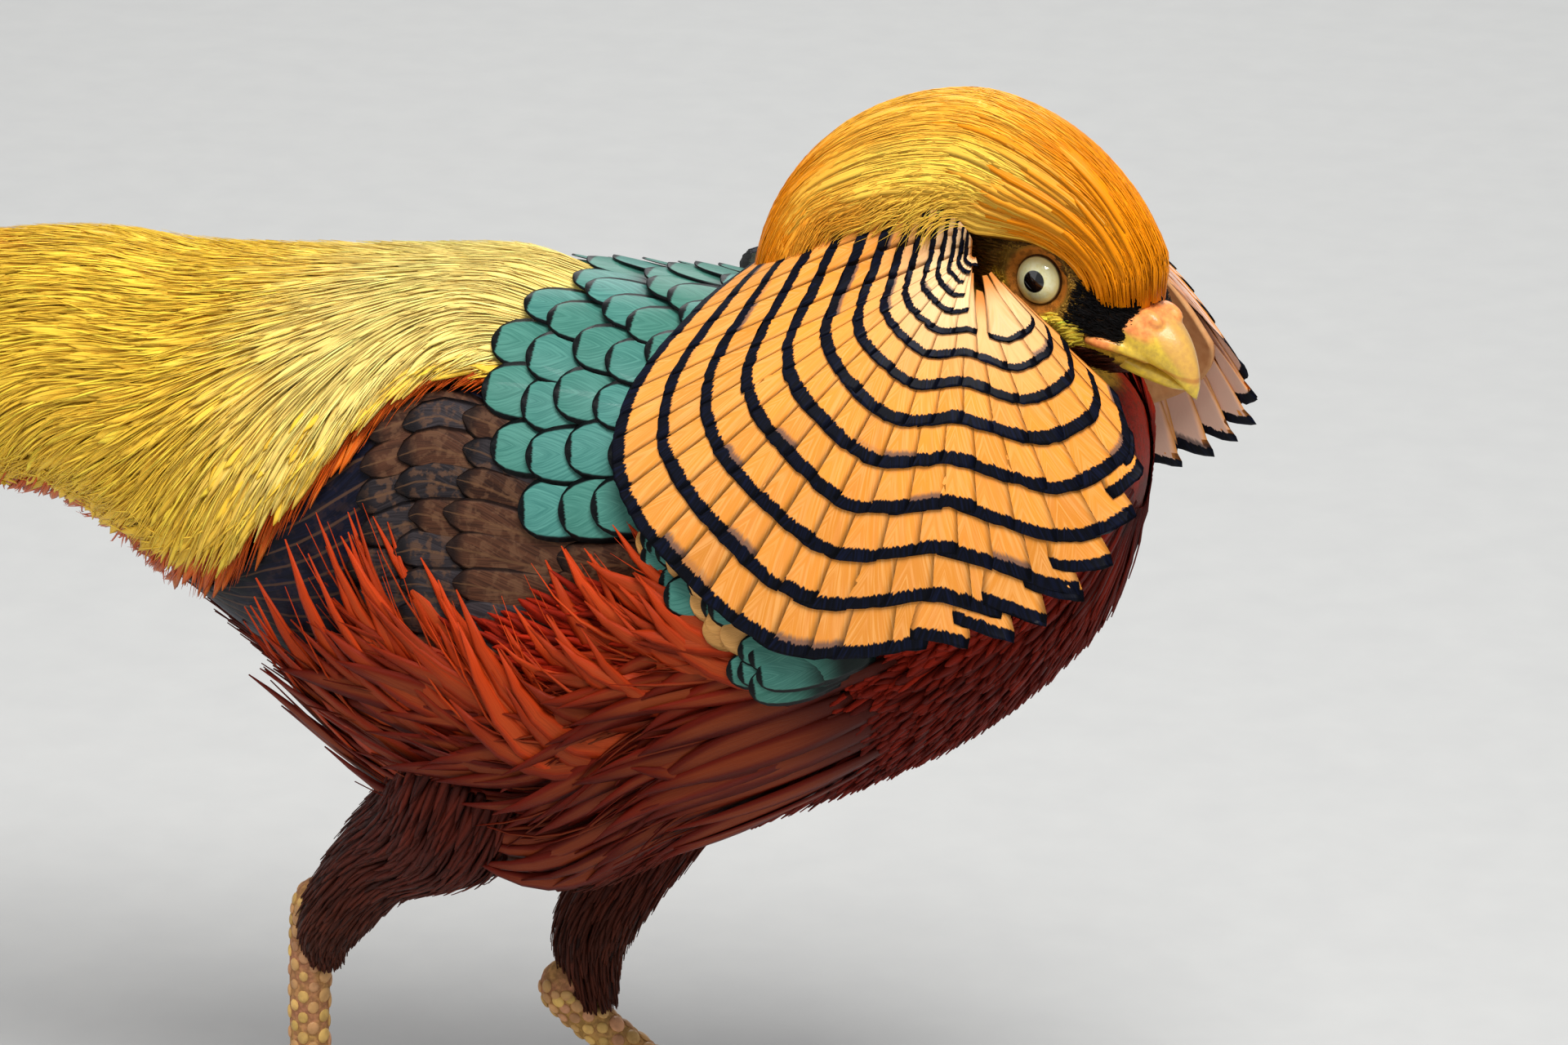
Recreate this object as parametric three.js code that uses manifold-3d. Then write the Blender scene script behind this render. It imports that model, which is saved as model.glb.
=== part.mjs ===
// A male golden pheasant as a still, life-size model: it stands with its head turned to its right,
// its crest smooth, its cape spread over the shoulders and its long tail held out behind.
// Millimetres. X is the way the body faces, Y is the bird's left, Z is up, and the floor is z = 0.
import * as THREE from "three";
import { mergeVertices } from "three/addons/utils/BufferGeometryUtils.js";
import Module from "manifold-3d";

const wasm = await Module();
wasm.setup();

const vec = (x, y, z) => new THREE.Vector3(x, y, z);
const rad = THREE.MathUtils.degToRad;
const lerp = THREE.MathUtils.lerp;
const clamp = THREE.MathUtils.clamp;
const smooth = THREE.MathUtils.smoothstep;

// Gap between neighbouring pieces, and how far the plumage cores stand off the body.
const GAP = 0.3;
const STAND_OFF = 3 * GAP;

// Body: stations from the breast to the vent, as x, height of the middle, half height, half width.
const TRUNK = [
  [78, 183, 0, 0],
  [75, 182, 15, 17],
  [63, 176, 31, 34],
  [42, 168, 43, 45],
  [16, 161, 51, 50],
  [-14, 154, 58, 52],
  [-44, 147, 65, 51],
  [-74, 154, 56, 47],
  [-100, 165, 43, 40],
  [-125, 175, 32, 31],
  [-146, 182, 22, 22],
  [-160, 184, 12, 12],
  [-166, 184, 0, 0],
];
// The plumage runs on past the vent as a sleeve round the root of the tail.
const SLEEVE = [
  ...TRUNK.slice(0, 10),
  [-150, 184.5, 24, 23],
  [-180, 184, 21, 20.5],
  [-220, 180.5, 19, 20],
  [-270, 175, 17.5, 20.5],
  [-330, 167, 16.5, 21],
  [-390, 159, 16, 21],
];

// Head: its middle lies between the eyes; it is turned to the bird's right and tipped down.
const HEAD = vec(61.5, -8, 226);
const HEAD_TURN = rad(30);
const HEAD_TIP = rad(16);
// Skull stations from the back of the head forwards: forward, up, half height, half width.
const SKULL = [
  [-27, 2, 0, 0],
  [-24, 1, 8, 8],
  [-14, 0, 14, 12.5],
  [-3, -1, 16, 13],
  [7, -2, 14.5, 12],
  [15, -3.5, 11, 9.5],
  [21, -4.5, 7.5, 6.5],
  [24, -5, 0, 0],
];
const EYE_RADIUS = 6.2;
const EYE_OUT = 6.4;
const LID_RADIUS = 5.3;
const LID_TUBE = 0.9;
// Bill stations forwards from the face: forward, up, half height, half width.
const UPPER_BILL = [
  [13, -2.5, 5, 6.5],
  [20, -1.2, 5.4, 6],
  [26, -2, 4.4, 4.6],
  [31, -4, 3.4, 3],
  [35, -7.4, 2.2, 1.6],
  [36.6, -10.4, 0, 0],
];
const LOWER_BILL = [
  [13, -9.6, 2.4, 6],
  [20, -9.6, 2.3, 5.4],
  [26, -9.4, 2, 4],
  [31, -9.2, 1.3, 2.4],
  [33.6, -9.4, 0, 0],
];

// Neck: a short thick length between the shoulders and the head.
const NECK_LOW = vec(28, 0, 190);
const NECK_HIGH = vec(42, -5, 221);
const NECK_RADIUS = [27, 17];

// Crest: a hood round a centre, from the forehead over the crown and down to the nape.
const CREST_CENTRE = vec(40, -3, 214);
const CREST_RADIUS = 46;
const CREST_START = rad(22);
const CREST_END = rad(176);
const CREST_DEPTH = 10;

// Cape: fans out from each ear to a rim, which these points follow from the chin round to the nape.
const CAPE = {
  right: {
    ear: vec(44.6, -22, 232),
    rim: [
      [75, -27, 205],
      [79, -34, 192],
      [68, -45, 172],
      [44, -54, 162],
      [16, -59, 159],
      [-6, -59, 174],
      [-20, -52, 189],
      [-21, -40, 203],
      [-13, -21, 215],
      [-7, -3, 219],
    ],
  },
  left: {
    ear: vec(60, 16, 231),
    rim: [
      [76, 30, 209],
      [88, 36, 192],
      [82, 43, 176],
      [56, 52, 163],
      [22, 59, 159],
      [-2, 59, 174],
      [-18, 52, 190],
      [-20, 40, 204],
      [-13, 21, 215],
      [-7, 3, 219],
    ],
  },
};
const CAPE_THICK = 5;
const CAPE_BULGE = 10;

// How far each kind of plumage stands out from the body.
const MANTLE_DEPTH = 5;
const RUMP_DEPTH = 8;
const WING_DEPTH = 4;
const FLANK_DEPTH = 8;

// Tail: eighteen feathers like a ridged roof, the middle pair the longest, drooping to the tip.
const TAIL_ROOT = vec(-160, 0, 184);
const TAIL_LENGTH = 715;
const TAIL_SLOPE = 0.09;
const TAIL_SAG = 0.000125;
const TAIL_RIDGE = 12;
const TAIL_PITCH = 0.72;
const TAIL_PAIRS = [1, 0.8, 0.63, 0.5, 0.41, 0.34, 0.29, 0.25, 0.22];

// Legs: the near one is set back, the far one a short step ahead.
const LEGS = {
  right: { side: -1, knee: [-68, -30, 112], heel: [-101, -19, 80], foot: [-97, -20], aim: 4 },
  left: { side: 1, knee: [-26, 28, 92], heel: [-57, 18, 51], foot: [-6, 25], aim: 9 },
};
const SHANK_RADIUS = 4.2;
const TOES = [
  [-26, 33],
  [0, 42],
  [26, 34],
  [180, 15],
];
const SIDES = [
  ["right", -1],
  ["left", 1],
];

// Feathers vary a little, the same way each time.
let seed = 7;
function vary(amount) {
  seed = (seed * 1103515245 + 12345) % 2147483648;
  return amount * (seed / 1073741824 - 1);
}

// A closed three.js geometry as a manifold solid, with its faces turned outwards.
function solid(geometry) {
  const bare = geometry.clone();
  bare.deleteAttribute("normal");
  bare.deleteAttribute("uv");
  const merged = mergeVertices(bare, 1e-4);
  const vertProperties = new Float32Array(merged.attributes.position.array);
  const corners = merged.index.array;
  const make = (first, second) => {
    const triVerts = [];
    for (let i = 0; i < corners.length; i += 3) {
      const [a, b, c] = [corners[i], corners[i + first], corners[i + second]];
      if (a !== b && b !== c && c !== a) triVerts.push(a, b, c);
    }
    const mesh = new wasm.Mesh({ numProp: 3, vertProperties, triVerts: new Uint32Array(triVerts) });
    return new wasm.Manifold(mesh);
  };
  const made = make(1, 2);
  return made.volume() > 0 ? made : make(2, 1);
}

// Joins forms, cuts others away and keeps the largest closed body.
function fuse(parts, cuts = []) {
  let joined = wasm.Manifold.union(parts);
  for (const cut of cuts) joined = joined.subtract(cut);
  return joined.decompose().reduce((big, body) => (body.volume() > big.volume() ? body : big));
}

// A round closed form: at(turn, along) is a point of its surface, with along 0 and 1 at its ends.
function roundForm(columns, rows, at) {
  const form = new THREE.SphereGeometry(1, columns, rows);
  const { position, uv } = form.attributes;
  for (let i = 0; i < position.count; i++) {
    const p = at(uv.getX(i) * 2 * Math.PI, 1 - uv.getY(i));
    position.setXYZ(i, p.x, p.y, p.z);
  }
  return solid(form);
}

function closed(points, corners) {
  const geometry = new THREE.BufferGeometry();
  const flat = points.flatMap((p) => p.toArray());
  geometry.setAttribute("position", new THREE.Float32BufferAttribute(flat, 3));
  geometry.setIndex(corners);
  return solid(geometry);
}

// A closed plate: at(u, v, top) is a point of its outer face (top 1) or inner face (top 0).
// Both faces are split into triangles alike, so that a thin plate never crosses itself.
function slab(columns, rows, at) {
  const wide = columns + 1;
  const layer = wide * (rows + 1);
  const points = [];
  const corners = [];
  for (const top of [0, 1])
    for (let j = 0; j <= rows; j++)
      for (let i = 0; i <= columns; i++) points.push(at(i / columns, j / rows, top));
  const under = (i, j) => j * wide + i;
  const face = (a, b, c) => corners.push(a, c, b, a + layer, b + layer, c + layer);
  const wall = (a, b) => corners.push(b + layer, a + layer, a, b + layer, a, b);
  for (let j = 0; j < rows; j++)
    for (let i = 0; i < columns; i++) {
      face(under(i, j), under(i + 1, j), under(i + 1, j + 1));
      face(under(i, j), under(i + 1, j + 1), under(i, j + 1));
    }
  for (let i = 0; i < columns; i++) {
    wall(under(i, 0), under(i + 1, 0));
    wall(under(i + 1, rows), under(i, rows));
  }
  for (let j = 0; j < rows; j++) {
    wall(under(columns, j), under(columns, j + 1));
    wall(under(0, j + 1), under(0, j));
  }
  return closed(points, corners);
}

// A feather: a blade with a ridge along its upper side, on a surface(a, b, height), root to tip.
// route(s) is its middle line, lift(s) its height over the surface; half is measured along b.
// A hollow blade keeps the surface's arch on its underside too. Both sides are split alike.
function vane(surface, { route, half, lift, widths, thick = 0.9, hollow = false }) {
  const rows = widths.length - 1;
  const points = [];
  for (let i = 0; i <= rows; i++) {
    const s = i / rows;
    const [a, b] = route(s);
    const wide = half * widths[i];
    points.push(
      surface(a, b + wide, lift(s)),
      surface(a, b, lift(s) + thick),
      surface(a, b - wide, lift(s)),
    );
    if (hollow) points.push(surface(a, b, lift(s)));
  }
  const ring = hollow ? 4 : 3;
  const under = hollow ? 3 : 0;
  const corners = [];
  const strip = (p, q, turned) => {
    if (turned) corners.push(p, q, q + ring, p, q + ring, p + ring);
    else corners.push(p, q + ring, q, p, p + ring, q + ring);
  };
  for (let k = 0; k < rows * ring; k += ring) {
    strip(k, k + 1, false);
    strip(k + 2, k + 1, true);
    strip(k + 2, k + under, false);
    if (hollow) strip(k, k + under, true);
  }
  const end = rows * ring;
  corners.push(0, 1, 2, end, end + 2, end + 1);
  if (hollow) corners.push(0, 2, under, end, end + under, end + 2);
  return closed(points, corners);
}

// Widths of a feather from root to tip, as shares of its half width.
const BROAD = [0.55, 1, 0.92];
const ROUND = [0.6, 1, 0.45];
const SPEAR = [0.6, 1, 0.12];
const QUILL = [0.45, 1, 0.85, 0.3];
const LANCE = [0.6, 1, 0.75, 0.12];
const PLUME = [0.6, 0.9, 1, 1, 0.9, 0.3];

// A smooth curve through a table's rows, read by the table's first column.
function stations(table) {
  const count = table.length - 1;
  const row = (k) => table[clamp(k, 0, count)];
  const at = (u) => {
    const i = Math.min(Math.floor(u), count - 1);
    const f = u - i;
    const [p, q, r, s] = [row(i - 1), row(i), row(i + 1), row(i + 2)];
    return q.map((_, k) => {
      const slope = r[k] - p[k];
      const bend = 2 * p[k] - 5 * q[k] + 4 * r[k] - s[k];
      const twist = 3 * q[k] - p[k] - 3 * r[k] + s[k];
      return 0.5 * (2 * q[k] + slope * f + bend * f * f + twist * f * f * f);
    });
  };
  const find = (x) => {
    const falling = table[0][0] > table[count][0];
    let low = 0;
    let high = count;
    for (let step = 0; step < 24; step++) {
      const middle = (low + high) / 2;
      if (at(middle)[0] > x === falling) low = middle;
      else high = middle;
    }
    return (low + high) / 2;
  };
  const readAt = (x) => at(find(x));
  return { count, at, find, readAt };
}

const bodySection = ([x, mid, high, wide], turn) => vec(x, -wide * Math.sin(turn), mid + high * Math.cos(turn));

// Surface of a body made of oval sections: a point at station u, turned round it, height over it.
function ovalSurface(table, section = bodySection) {
  const line = stations(table);
  const flat = (u, turn) => section(line.at(clamp(u, 0, line.count)), turn);
  const normal = (u, turn) => {
    const near = clamp(u, 0.02, line.count - 0.02);
    const along = flat(near + 0.01, turn).sub(flat(near - 0.01, turn));
    const round = flat(near, turn + 0.01).sub(flat(near, turn - 0.01));
    const outward = flat(near, turn).sub(flat(near, turn + Math.PI));
    const made = round.cross(along).normalize();
    return made.dot(outward) > 0 ? made : made.negate();
  };
  const point = (u, turn, height = 0) => flat(u, turn).addScaledVector(normal(u, turn), height);
  return { line, point };
}
const trunk = ovalSurface(TRUNK);
const sleeve = ovalSurface(SLEEVE);

// Places on the body and the sleeve by x and degrees from the back down to the bird's right.
const onTrunk = (x, turn, height) => trunk.point(trunk.line.find(x), rad(turn), height);
const onSleeve = (x, turn, height) => sleeve.point(sleeve.line.find(x), rad(turn), height);

// The head's own directions: forward, left and up.
const forward = vec(
  Math.cos(HEAD_TURN) * Math.cos(HEAD_TIP),
  -Math.sin(HEAD_TURN) * Math.cos(HEAD_TIP),
  -Math.sin(HEAD_TIP),
);
const leftward = vec(Math.sin(HEAD_TURN), Math.cos(HEAD_TURN), 0);
const upward = forward.clone().cross(leftward);
const headPoint = (f, l, u) =>
  HEAD.clone().addScaledVector(forward, f).addScaledVector(leftward, l).addScaledVector(upward, u);
const headSection = ([f, mid, high, wide], turn) => headPoint(f, -wide * Math.sin(turn), mid + high * Math.cos(turn));
const skull = ovalSurface(SKULL, headSection);

// The whole body of a surface, grown by a little where it serves to clear its neighbours.
function ovalForm(surface, columns, rows, grow = 0) {
  const { count } = surface.line;
  return roundForm(columns, rows, (turn, along) => {
    if (along > 0 && along < 1) return surface.point(along * count, turn, grow);
    const end = surface.point(along * count, 0);
    const near = lerp(along, 0.5, 0.1) * count;
    const inside = surface.point(near, 0).lerp(surface.point(near, Math.PI), 0.5);
    return end.addScaledVector(end.clone().sub(inside).normalize(), grow);
  });
}

function ball(centre, radius, columns = 12, rows = 8) {
  const geometry = new THREE.SphereGeometry(radius, columns, rows);
  geometry.translate(centre.x, centre.y, centre.z);
  return solid(geometry);
}

// A box in the head's own directions, from its middle and its half sizes.
function headBox([f, l, u], [halfForward, halfAcross, halfUp]) {
  const box = new THREE.BoxGeometry(2 * halfForward, 2 * halfAcross, 2 * halfUp);
  box.applyMatrix4(new THREE.Matrix4().makeBasis(forward, leftward, upward));
  const centre = headPoint(f, l, u);
  box.translate(centre.x, centre.y, centre.z);
  return solid(box);
}
function headLump([f, l, u], [halfForward, halfAcross, halfUp], columns = 6, rows = 5) {
  return roundForm(columns, rows, (turn, along) => {
    const tilt = Math.PI * along;
    return headPoint(
      f + halfForward * Math.sin(tilt) * Math.cos(turn),
      l + halfAcross * Math.cos(tilt),
      u + halfUp * Math.sin(tilt) * Math.sin(turn),
    );
  });
}

const torso = ovalForm(trunk, 22, 14, -0.7);
const torsoGrown = ovalForm(trunk, 22, 14);
const skullForm = ovalForm(skull, 14, 10);
const skullGrown = ovalForm(skull, 14, 10, GAP);

function neckForm(grow) {
  const axis = NECK_HIGH.clone().sub(NECK_LOW).normalize();
  const across = vec(0, 1, 0);
  const ahead = across.clone().cross(axis).normalize();
  return roundForm(10, 6, (turn, along) => {
    const swell = Math.sqrt(Math.max(0, Math.sin(Math.PI * along)));
    const radius = (lerp(...NECK_RADIUS, along) + grow) * swell;
    return NECK_LOW.clone()
      .addScaledVector(axis, lerp(-10 - grow, 44 + grow, along))
      .addScaledVector(across, radius * Math.sin(turn))
      .addScaledVector(ahead, radius * Math.cos(turn));
  });
}

// The fold of bare skin below each eye.
function foldForms(grow) {
  return SIDES.map(([, side]) => headLump([3, side * 10, -8.6], [5.5 + grow, 2.6 + grow, 2.6 + grow]));
}
// Head: skull with hollows round the eyes, lids, the patch of bare skin and the corners of the mouth.
function headSolid() {
  const lids = [];
  const folds = foldForms(0);
  const hollows = [];
  const sockets = [];
  for (const [, side] of SIDES) {
    hollows.push(ball(headPoint(0, side * 19.5, 0.5), 10.5, 8, 6));
    const ring = new THREE.TorusGeometry(LID_RADIUS, LID_TUBE, 4, 11);
    ring.applyMatrix4(new THREE.Matrix4().makeBasis(forward, upward, forward.clone().cross(upward)));
    const centre = headPoint(0, side * (EYE_OUT + 3.6), 0);
    ring.translate(centre.x, centre.y, centre.z);
    lids.push(solid(ring));
    sockets.push(ball(headPoint(0, side * EYE_OUT, 0), EYE_RADIUS + 2 * GAP, 10, 7));
    sockets.push(headBox([19.5, side * 9.6, -6.9], [6, 2.6, 0.35]));
  }
  return fuse([fuse([skullForm], hollows), ...lids, ...folds], sockets);
}

function billForm(table, rows, flatTop) {
  const line = stations(table);
  return roundForm(12, rows, (turn, along) => {
    const [f, mid, high, wide] = line.at(along * line.count);
    if (along === 0) return headPoint(f, 0, mid);
    const up = Math.cos(turn) * high;
    const level = flatTop ? Math.min(up, high * 0.55) : Math.max(up, -high * 0.75);
    return headPoint(f, -wide * Math.sin(turn), mid + level);
  });
}
function upperBillSolid(form) {
  const ceres = SIDES.map(([, side]) => headLump([23, side * 3.6, 1.2], [3.4, 1.9, 2.2]));
  const nostrils = SIDES.map(([, side]) => headLump([25.6, side * 5, 0.2], [1.9, 1.4, 0.7]));
  return fuse([form, ...ceres], [skullGrown, ...nostrils]);
}

// A limb of round sections along a curve, with flat ends; where it lies on the floor it is flat below.
// Every other ring stands out by ridge on its upper or front side, as scutes do.
function limb(points, radii, { sides, rows, floor = false, ridge = 0, grow = 0 }) {
  const path = new THREE.CatmullRomCurve3(points.map((p) => vec(...p)));
  return roundForm(sides, rows, (turn, along) => {
    const step = Math.round(along * rows);
    const share = clamp((step - 1) / (rows - 2), 0, 1);
    const k = share * (radii.length - 1);
    const i = Math.min(Math.floor(k), radii.length - 2);
    const raised = ridge * (step % 2) * Math.max(0, Math.cos(turn));
    const radius = step > 0 && step < rows ? lerp(radii[i], radii[i + 1], k - i) + raised + grow : 0;
    const tangent = path.getTangent(share);
    const across = vec(0, 1, 0).cross(tangent);
    if (Math.abs(tangent.y) > 0.9) across.set(1, 0, 0).cross(tangent);
    across.normalize();
    const beside = tangent.clone().cross(across).normalize();
    const p = path
      .getPoint(share)
      .addScaledVector(across, radius * Math.cos(turn))
      .addScaledVector(beside, radius * Math.sin(turn))
      .addScaledVector(tangent, grow * (2 * Math.round(along) - 1));
    if (floor) p.z = Math.max(p.z, 0);
    return p;
  });
}

function legForms({ side, knee, heel, foot, aim }) {
  const [kx, ky, kz] = knee;
  const [hx, hy, hz] = heel;
  const [fx, fy] = foot;
  const thighPath = [
    [kx + 4, ky, kz + 14],
    [kx - 2, ky, kz],
    [lerp(kx, hx, 0.5), lerp(ky, hy, 0.5), lerp(kz, hz, 0.5)],
    [hx, hy, hz - 4],
    [lerp(hx, fx, 0.22), lerp(hy, fy, 0.22), hz * 0.78],
  ];
  const thighRadii = [20, 23, 20, 14, 8.5, 6.2];
  const thigh = limb(thighPath, thighRadii, { sides: 12, rows: 8 });
  const thighGrown = limb(thighPath, thighRadii, { sides: 12, rows: 8, grow: GAP });
  const shankPath = [
    [hx + 3, hy, hz + 6],
    [hx, hy, hz],
    [lerp(hx, fx, 0.5), lerp(hy, fy, 0.5), hz * 0.5],
    [fx, fy, 12],
    [fx + 1, fy, 5.5],
  ];
  const shankRadii = [5, 6.2, 5, SHANK_RADIUS, SHANK_RADIUS, SHANK_RADIUS, 5, 5.4];
  const shankForm = limb(shankPath, shankRadii, { sides: 7, rows: 20, ridge: 0.5 });
  const shankGrown = limb(shankPath, shankRadii, { sides: 8, rows: 9, grow: GAP + 0.6 });
  const spurRoot = [lerp(hx, fx, 0.68), lerp(hy, fy, 0.68), hz * 0.32];
  const spur = limb(
    [spurRoot, [spurRoot[0] - 7, spurRoot[1], spurRoot[2] + 0.5], [spurRoot[0] - 12, spurRoot[1], spurRoot[2] + 3]],
    [3.2, 1.9, 0.6],
    { sides: 6, rows: 5 },
  );
  const toes = TOES.map(([angle, length]) => {
    const way = rad((angle + aim) * side);
    const at = (s, z) => [fx + Math.cos(way) * s, fy + Math.sin(way) * s, z];
    const path = [at(-2, 6), at(length * 0.25, 4.4), at(length * 0.6, 3), at(length, 2.6), at(length + 9, 1.2)];
    return limb(path, [4, 4.4, 3.7, 3.7, 3.2, 3, 1.8, 0.5], { sides: 6, rows: 8, floor: true, ridge: 0.4 });
  });
  // A flat pad lies under the place where the toes meet.
  const pad = roundForm(10, 5, (turn, along) => {
    const radius = along > 0 && along < 1 ? lerp(6.4, 4.6, along) : 0;
    const level = lerp(0, 7.5, clamp((along * 5 - 1) / 3, 0, 1));
    return vec(fx + 1 + radius * Math.cos(turn), fy + radius * Math.sin(turn), level);
  });
  return { thigh, thighGrown, shank: fuse([shankForm, spur]), shankGrown, foot: fuse([pad, ...toes]) };
}

// A plain plate over part of a surface: place(u, v) gives its two coordinates.
function cover(surface, columns, rows, place, low, high) {
  return slab(columns, rows, (u, v, top) => surface(...place(u, v), top ? high : low));
}

// Crest hood: angle runs from the forehead back over the crown, lean from the middle to each side.
function crestSurface(share, lean, height) {
  const angle = lerp(CREST_START, CREST_END, share);
  const radius = CREST_RADIUS + height;
  const wide = lerp(17, 27, smooth(share, 0, 0.5)) + height;
  const tilt = rad(lean);
  const x = radius * Math.cos(tilt) * Math.cos(angle);
  const z = radius * Math.cos(tilt) * Math.sin(angle);
  const turn = HEAD_TURN * (1 - smooth(share, 0.1, 0.7));
  const swing = 0.42 * Math.max(0, x);
  return CREST_CENTRE.clone()
    .add(vec(x, -swing, z))
    .addScaledVector(vec(-Math.sin(turn), -Math.cos(turn), 0), wide * Math.sin(tilt));
}
// Its lower edge leaves the eye and the ear free on both sides.
function crestLimit(share) {
  return 57 - 19 * ((clamp(share, 0, 1) - 0.42) / 0.45) ** 2;
}
const onCrest = (share, across, height) => crestSurface(share, across * crestLimit(share), height);
function crestHood(columns, rows, low, high, spare = 0) {
  const edge = spare / 60;
  const place = (u, v) => [lerp(-edge, 1 + edge, v), (2 * u - 1) * (1 + 2 * edge)];
  return cover(onCrest, columns, rows, place, low, high);
}
// Three tiers of silky locks sweep back from the forehead and crown, each over the next one's roots.
function crestLocks() {
  const locks = [];
  const tiers = [
    { from: 0, to: 0.44, count: 6 },
    { from: 0.22, to: 0.72, count: 8 },
    { from: 0.48, to: 1, count: 8 },
  ];
  for (const { from, to, count } of tiers)
    for (let k = 0; k < count; k++) {
      const across = 2 * ((k + 0.5) / count) - 1;
      const end = Math.min(1, to + vary(0.03));
      const route = (s) => [lerp(from, end, s), across];
      const lift = (s) => lerp(-CREST_DEPTH / 2 - 1.8, -1.8, s ** 0.8);
      locks.push(vane(onCrest, { route, lift, half: 0.92 / count, widths: LANCE, thick: 1.6 }));
    }
  return locks;
}

// Cape: along runs from the ear (0) to the rim (1), round from the chin (0) to the nape (1).
function capeSurface({ ear, rim }) {
  const edge = new THREE.CatmullRomCurve3(rim.map((p) => vec(...p)));
  const outward = vec(0.25, Math.sign(ear.y), 0.35).normalize();
  return (along, round, height) => {
    const swell = Math.sin(Math.PI * clamp(along, 0, 1) ** 0.8) * Math.sin(Math.PI * clamp(round * 1.1 + 0.08, 0, 1));
    return ear.clone().lerp(edge.getPoint(clamp(round, 0, 1)), along).addScaledVector(outward, CAPE_BULGE * swell + height);
  };
}
const CAPE_TIERS = [
  { tip: 1, count: 9 },
  { tip: 0.8, count: 7 },
  { tip: 0.59, count: 7 },
  { tip: 0.38, count: 5 },
];
function capeFeathers(surface) {
  const vanes = [];
  for (const { tip, count } of CAPE_TIERS)
    for (let k = 0; k < count; k++) {
      const round = (k + 0.5) / count;
      const end = tip - Math.abs(vary(0.02));
      const route = (s) => [lerp(tip - 0.37, end, s), round];
      const lift = (s) => lerp(0.5 - CAPE_THICK, -1.2, s);
      vanes.push(vane(surface, { route, lift, half: 0.46 / count, widths: BROAD }));
    }
  return vanes;
}

// Mantle: from under the cape back to an edge that curves from the middle of the back to the wings.
const MANTLE_FRONT = 10;
const MANTLE_SIDE = 64;
function mantleRear(turn) {
  return -52 + 16 * ((Math.min(MANTLE_SIDE, Math.abs(turn)) - 33) / 33) ** 2;
}
function mantlePlate(columns, rows, low, high, spare = 0, reach = 1) {
  const place = (u, v) => {
    const turn = (MANTLE_SIDE + spare) * (2 * u - 1);
    return [lerp(MANTLE_FRONT + spare, mantleRear(turn) - spare, v * reach), turn];
  };
  return cover(onTrunk, columns, rows, place, low, high);
}
function mantleFeathers() {
  const vanes = [];
  const rows = 3;
  for (let row = 0; row < rows; row++) {
    const count = 6 + (row % 2);
    for (let k = 0; k < count; k++) {
      const turn = MANTLE_SIDE * (2 * ((k + 0.5) / count) - 1);
      const tip = mantleRear(turn) + 13 * (rows - 1 - row) + Math.abs(vary(0.8));
      const route = (s) => [lerp(tip + 26, tip, s), turn];
      const lift = (s) => lerp(STAND_OFF + 0.3, MANTLE_DEPTH - 1, s);
      vanes.push(vane(onTrunk, { route, lift, half: (0.94 * MANTLE_SIDE) / count, widths: ROUND }));
    }
  }
  return vanes;
}

// Wing: folded along the side, below the mantle and the rump; rows are x, upper edge, lower edge.
const WING = stations([
  [8, 67, 90],
  [-24, 67, 92],
  [-38, 65, 94],
  [-50, 57, 96],
  [-62, 50, 99],
  [-76, 57, 105],
  [-96, 79, 117],
  [-108, 97, 124],
  [-120, 122, 130],
]);
const WING_FRONT = 8;
const WING_TIP = -120;
function wingTurn(x, across) {
  const [, upper, lower] = WING.readAt(clamp(x, WING_TIP, WING_FRONT));
  return lerp(upper, lower, (across + 1) / 2);
}
function onWing(side) {
  return (x, across, height) => onTrunk(x, -side * wingTurn(x, across), height);
}
function wingPlate(side, columns, rows, low, high, spare = 0, reach = 1) {
  const place = (u, v) => [
    lerp(WING_FRONT + spare, WING_TIP - spare, v * reach),
    (2 * u - 1) * (1 + spare / 20),
  ];
  return cover(onWing(side), columns, rows, place, low, high);
}
// Two tiers of coverts, then the long quills, which run on to the tip.
const WING_TIERS = [
  { from: -6, to: -48, count: 4, widths: ROUND },
  { from: -28, to: -70, count: 5, widths: ROUND },
  { from: -49, to: -118, count: 5, widths: QUILL },
];
function wingFeathers(side) {
  const vanes = [];
  for (const { from, to, count, widths } of WING_TIERS)
    for (let k = 0; k < count; k++) {
      const across = 2 * ((k + 0.5) / count) - 1;
      const end = to + 7 * Math.abs(across) + vary(1.5);
      const route = (s) => [lerp(from, end, s), across];
      const lift = (s) => lerp(STAND_OFF + 0.2, WING_DEPTH - 0.9, s ** 0.7);
      vanes.push(vane(onWing(side), { route, lift, half: 0.94 / count, widths, thick: 0.8 }));
    }
  return vanes;
}

// Flank: long feathers from the side of the belly, up over the lower edge of the wing.
const FLANK_FRONT = 10;
const FLANK_REAR = -100;
const FLANK_LOW = 136;
const flankTop = stations([
  [FLANK_FRONT, 99],
  [-10, 88],
  [-40, 74],
  [-65, 66],
  [-85, 78],
  [FLANK_REAR, 106],
]);
const FLANK_CORE = 3.4;
function flankPlate(side, columns, rows, low, high, upper, spare = 0) {
  const place = (u, v) => {
    const x = lerp(FLANK_FRONT + spare, FLANK_REAR - spare, v);
    return [x, -side * lerp(upper(x) - spare, FLANK_LOW + spare, u)];
  };
  return cover(onTrunk, columns, rows, place, low, high);
}
const belowWing = (x) => wingTurn(x, 1) + 2;
const FLANK_TIERS = [
  { count: 5, drop: 0, climb: 14 },
  { count: 5, drop: 0.55, climb: 24 },
];
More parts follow.
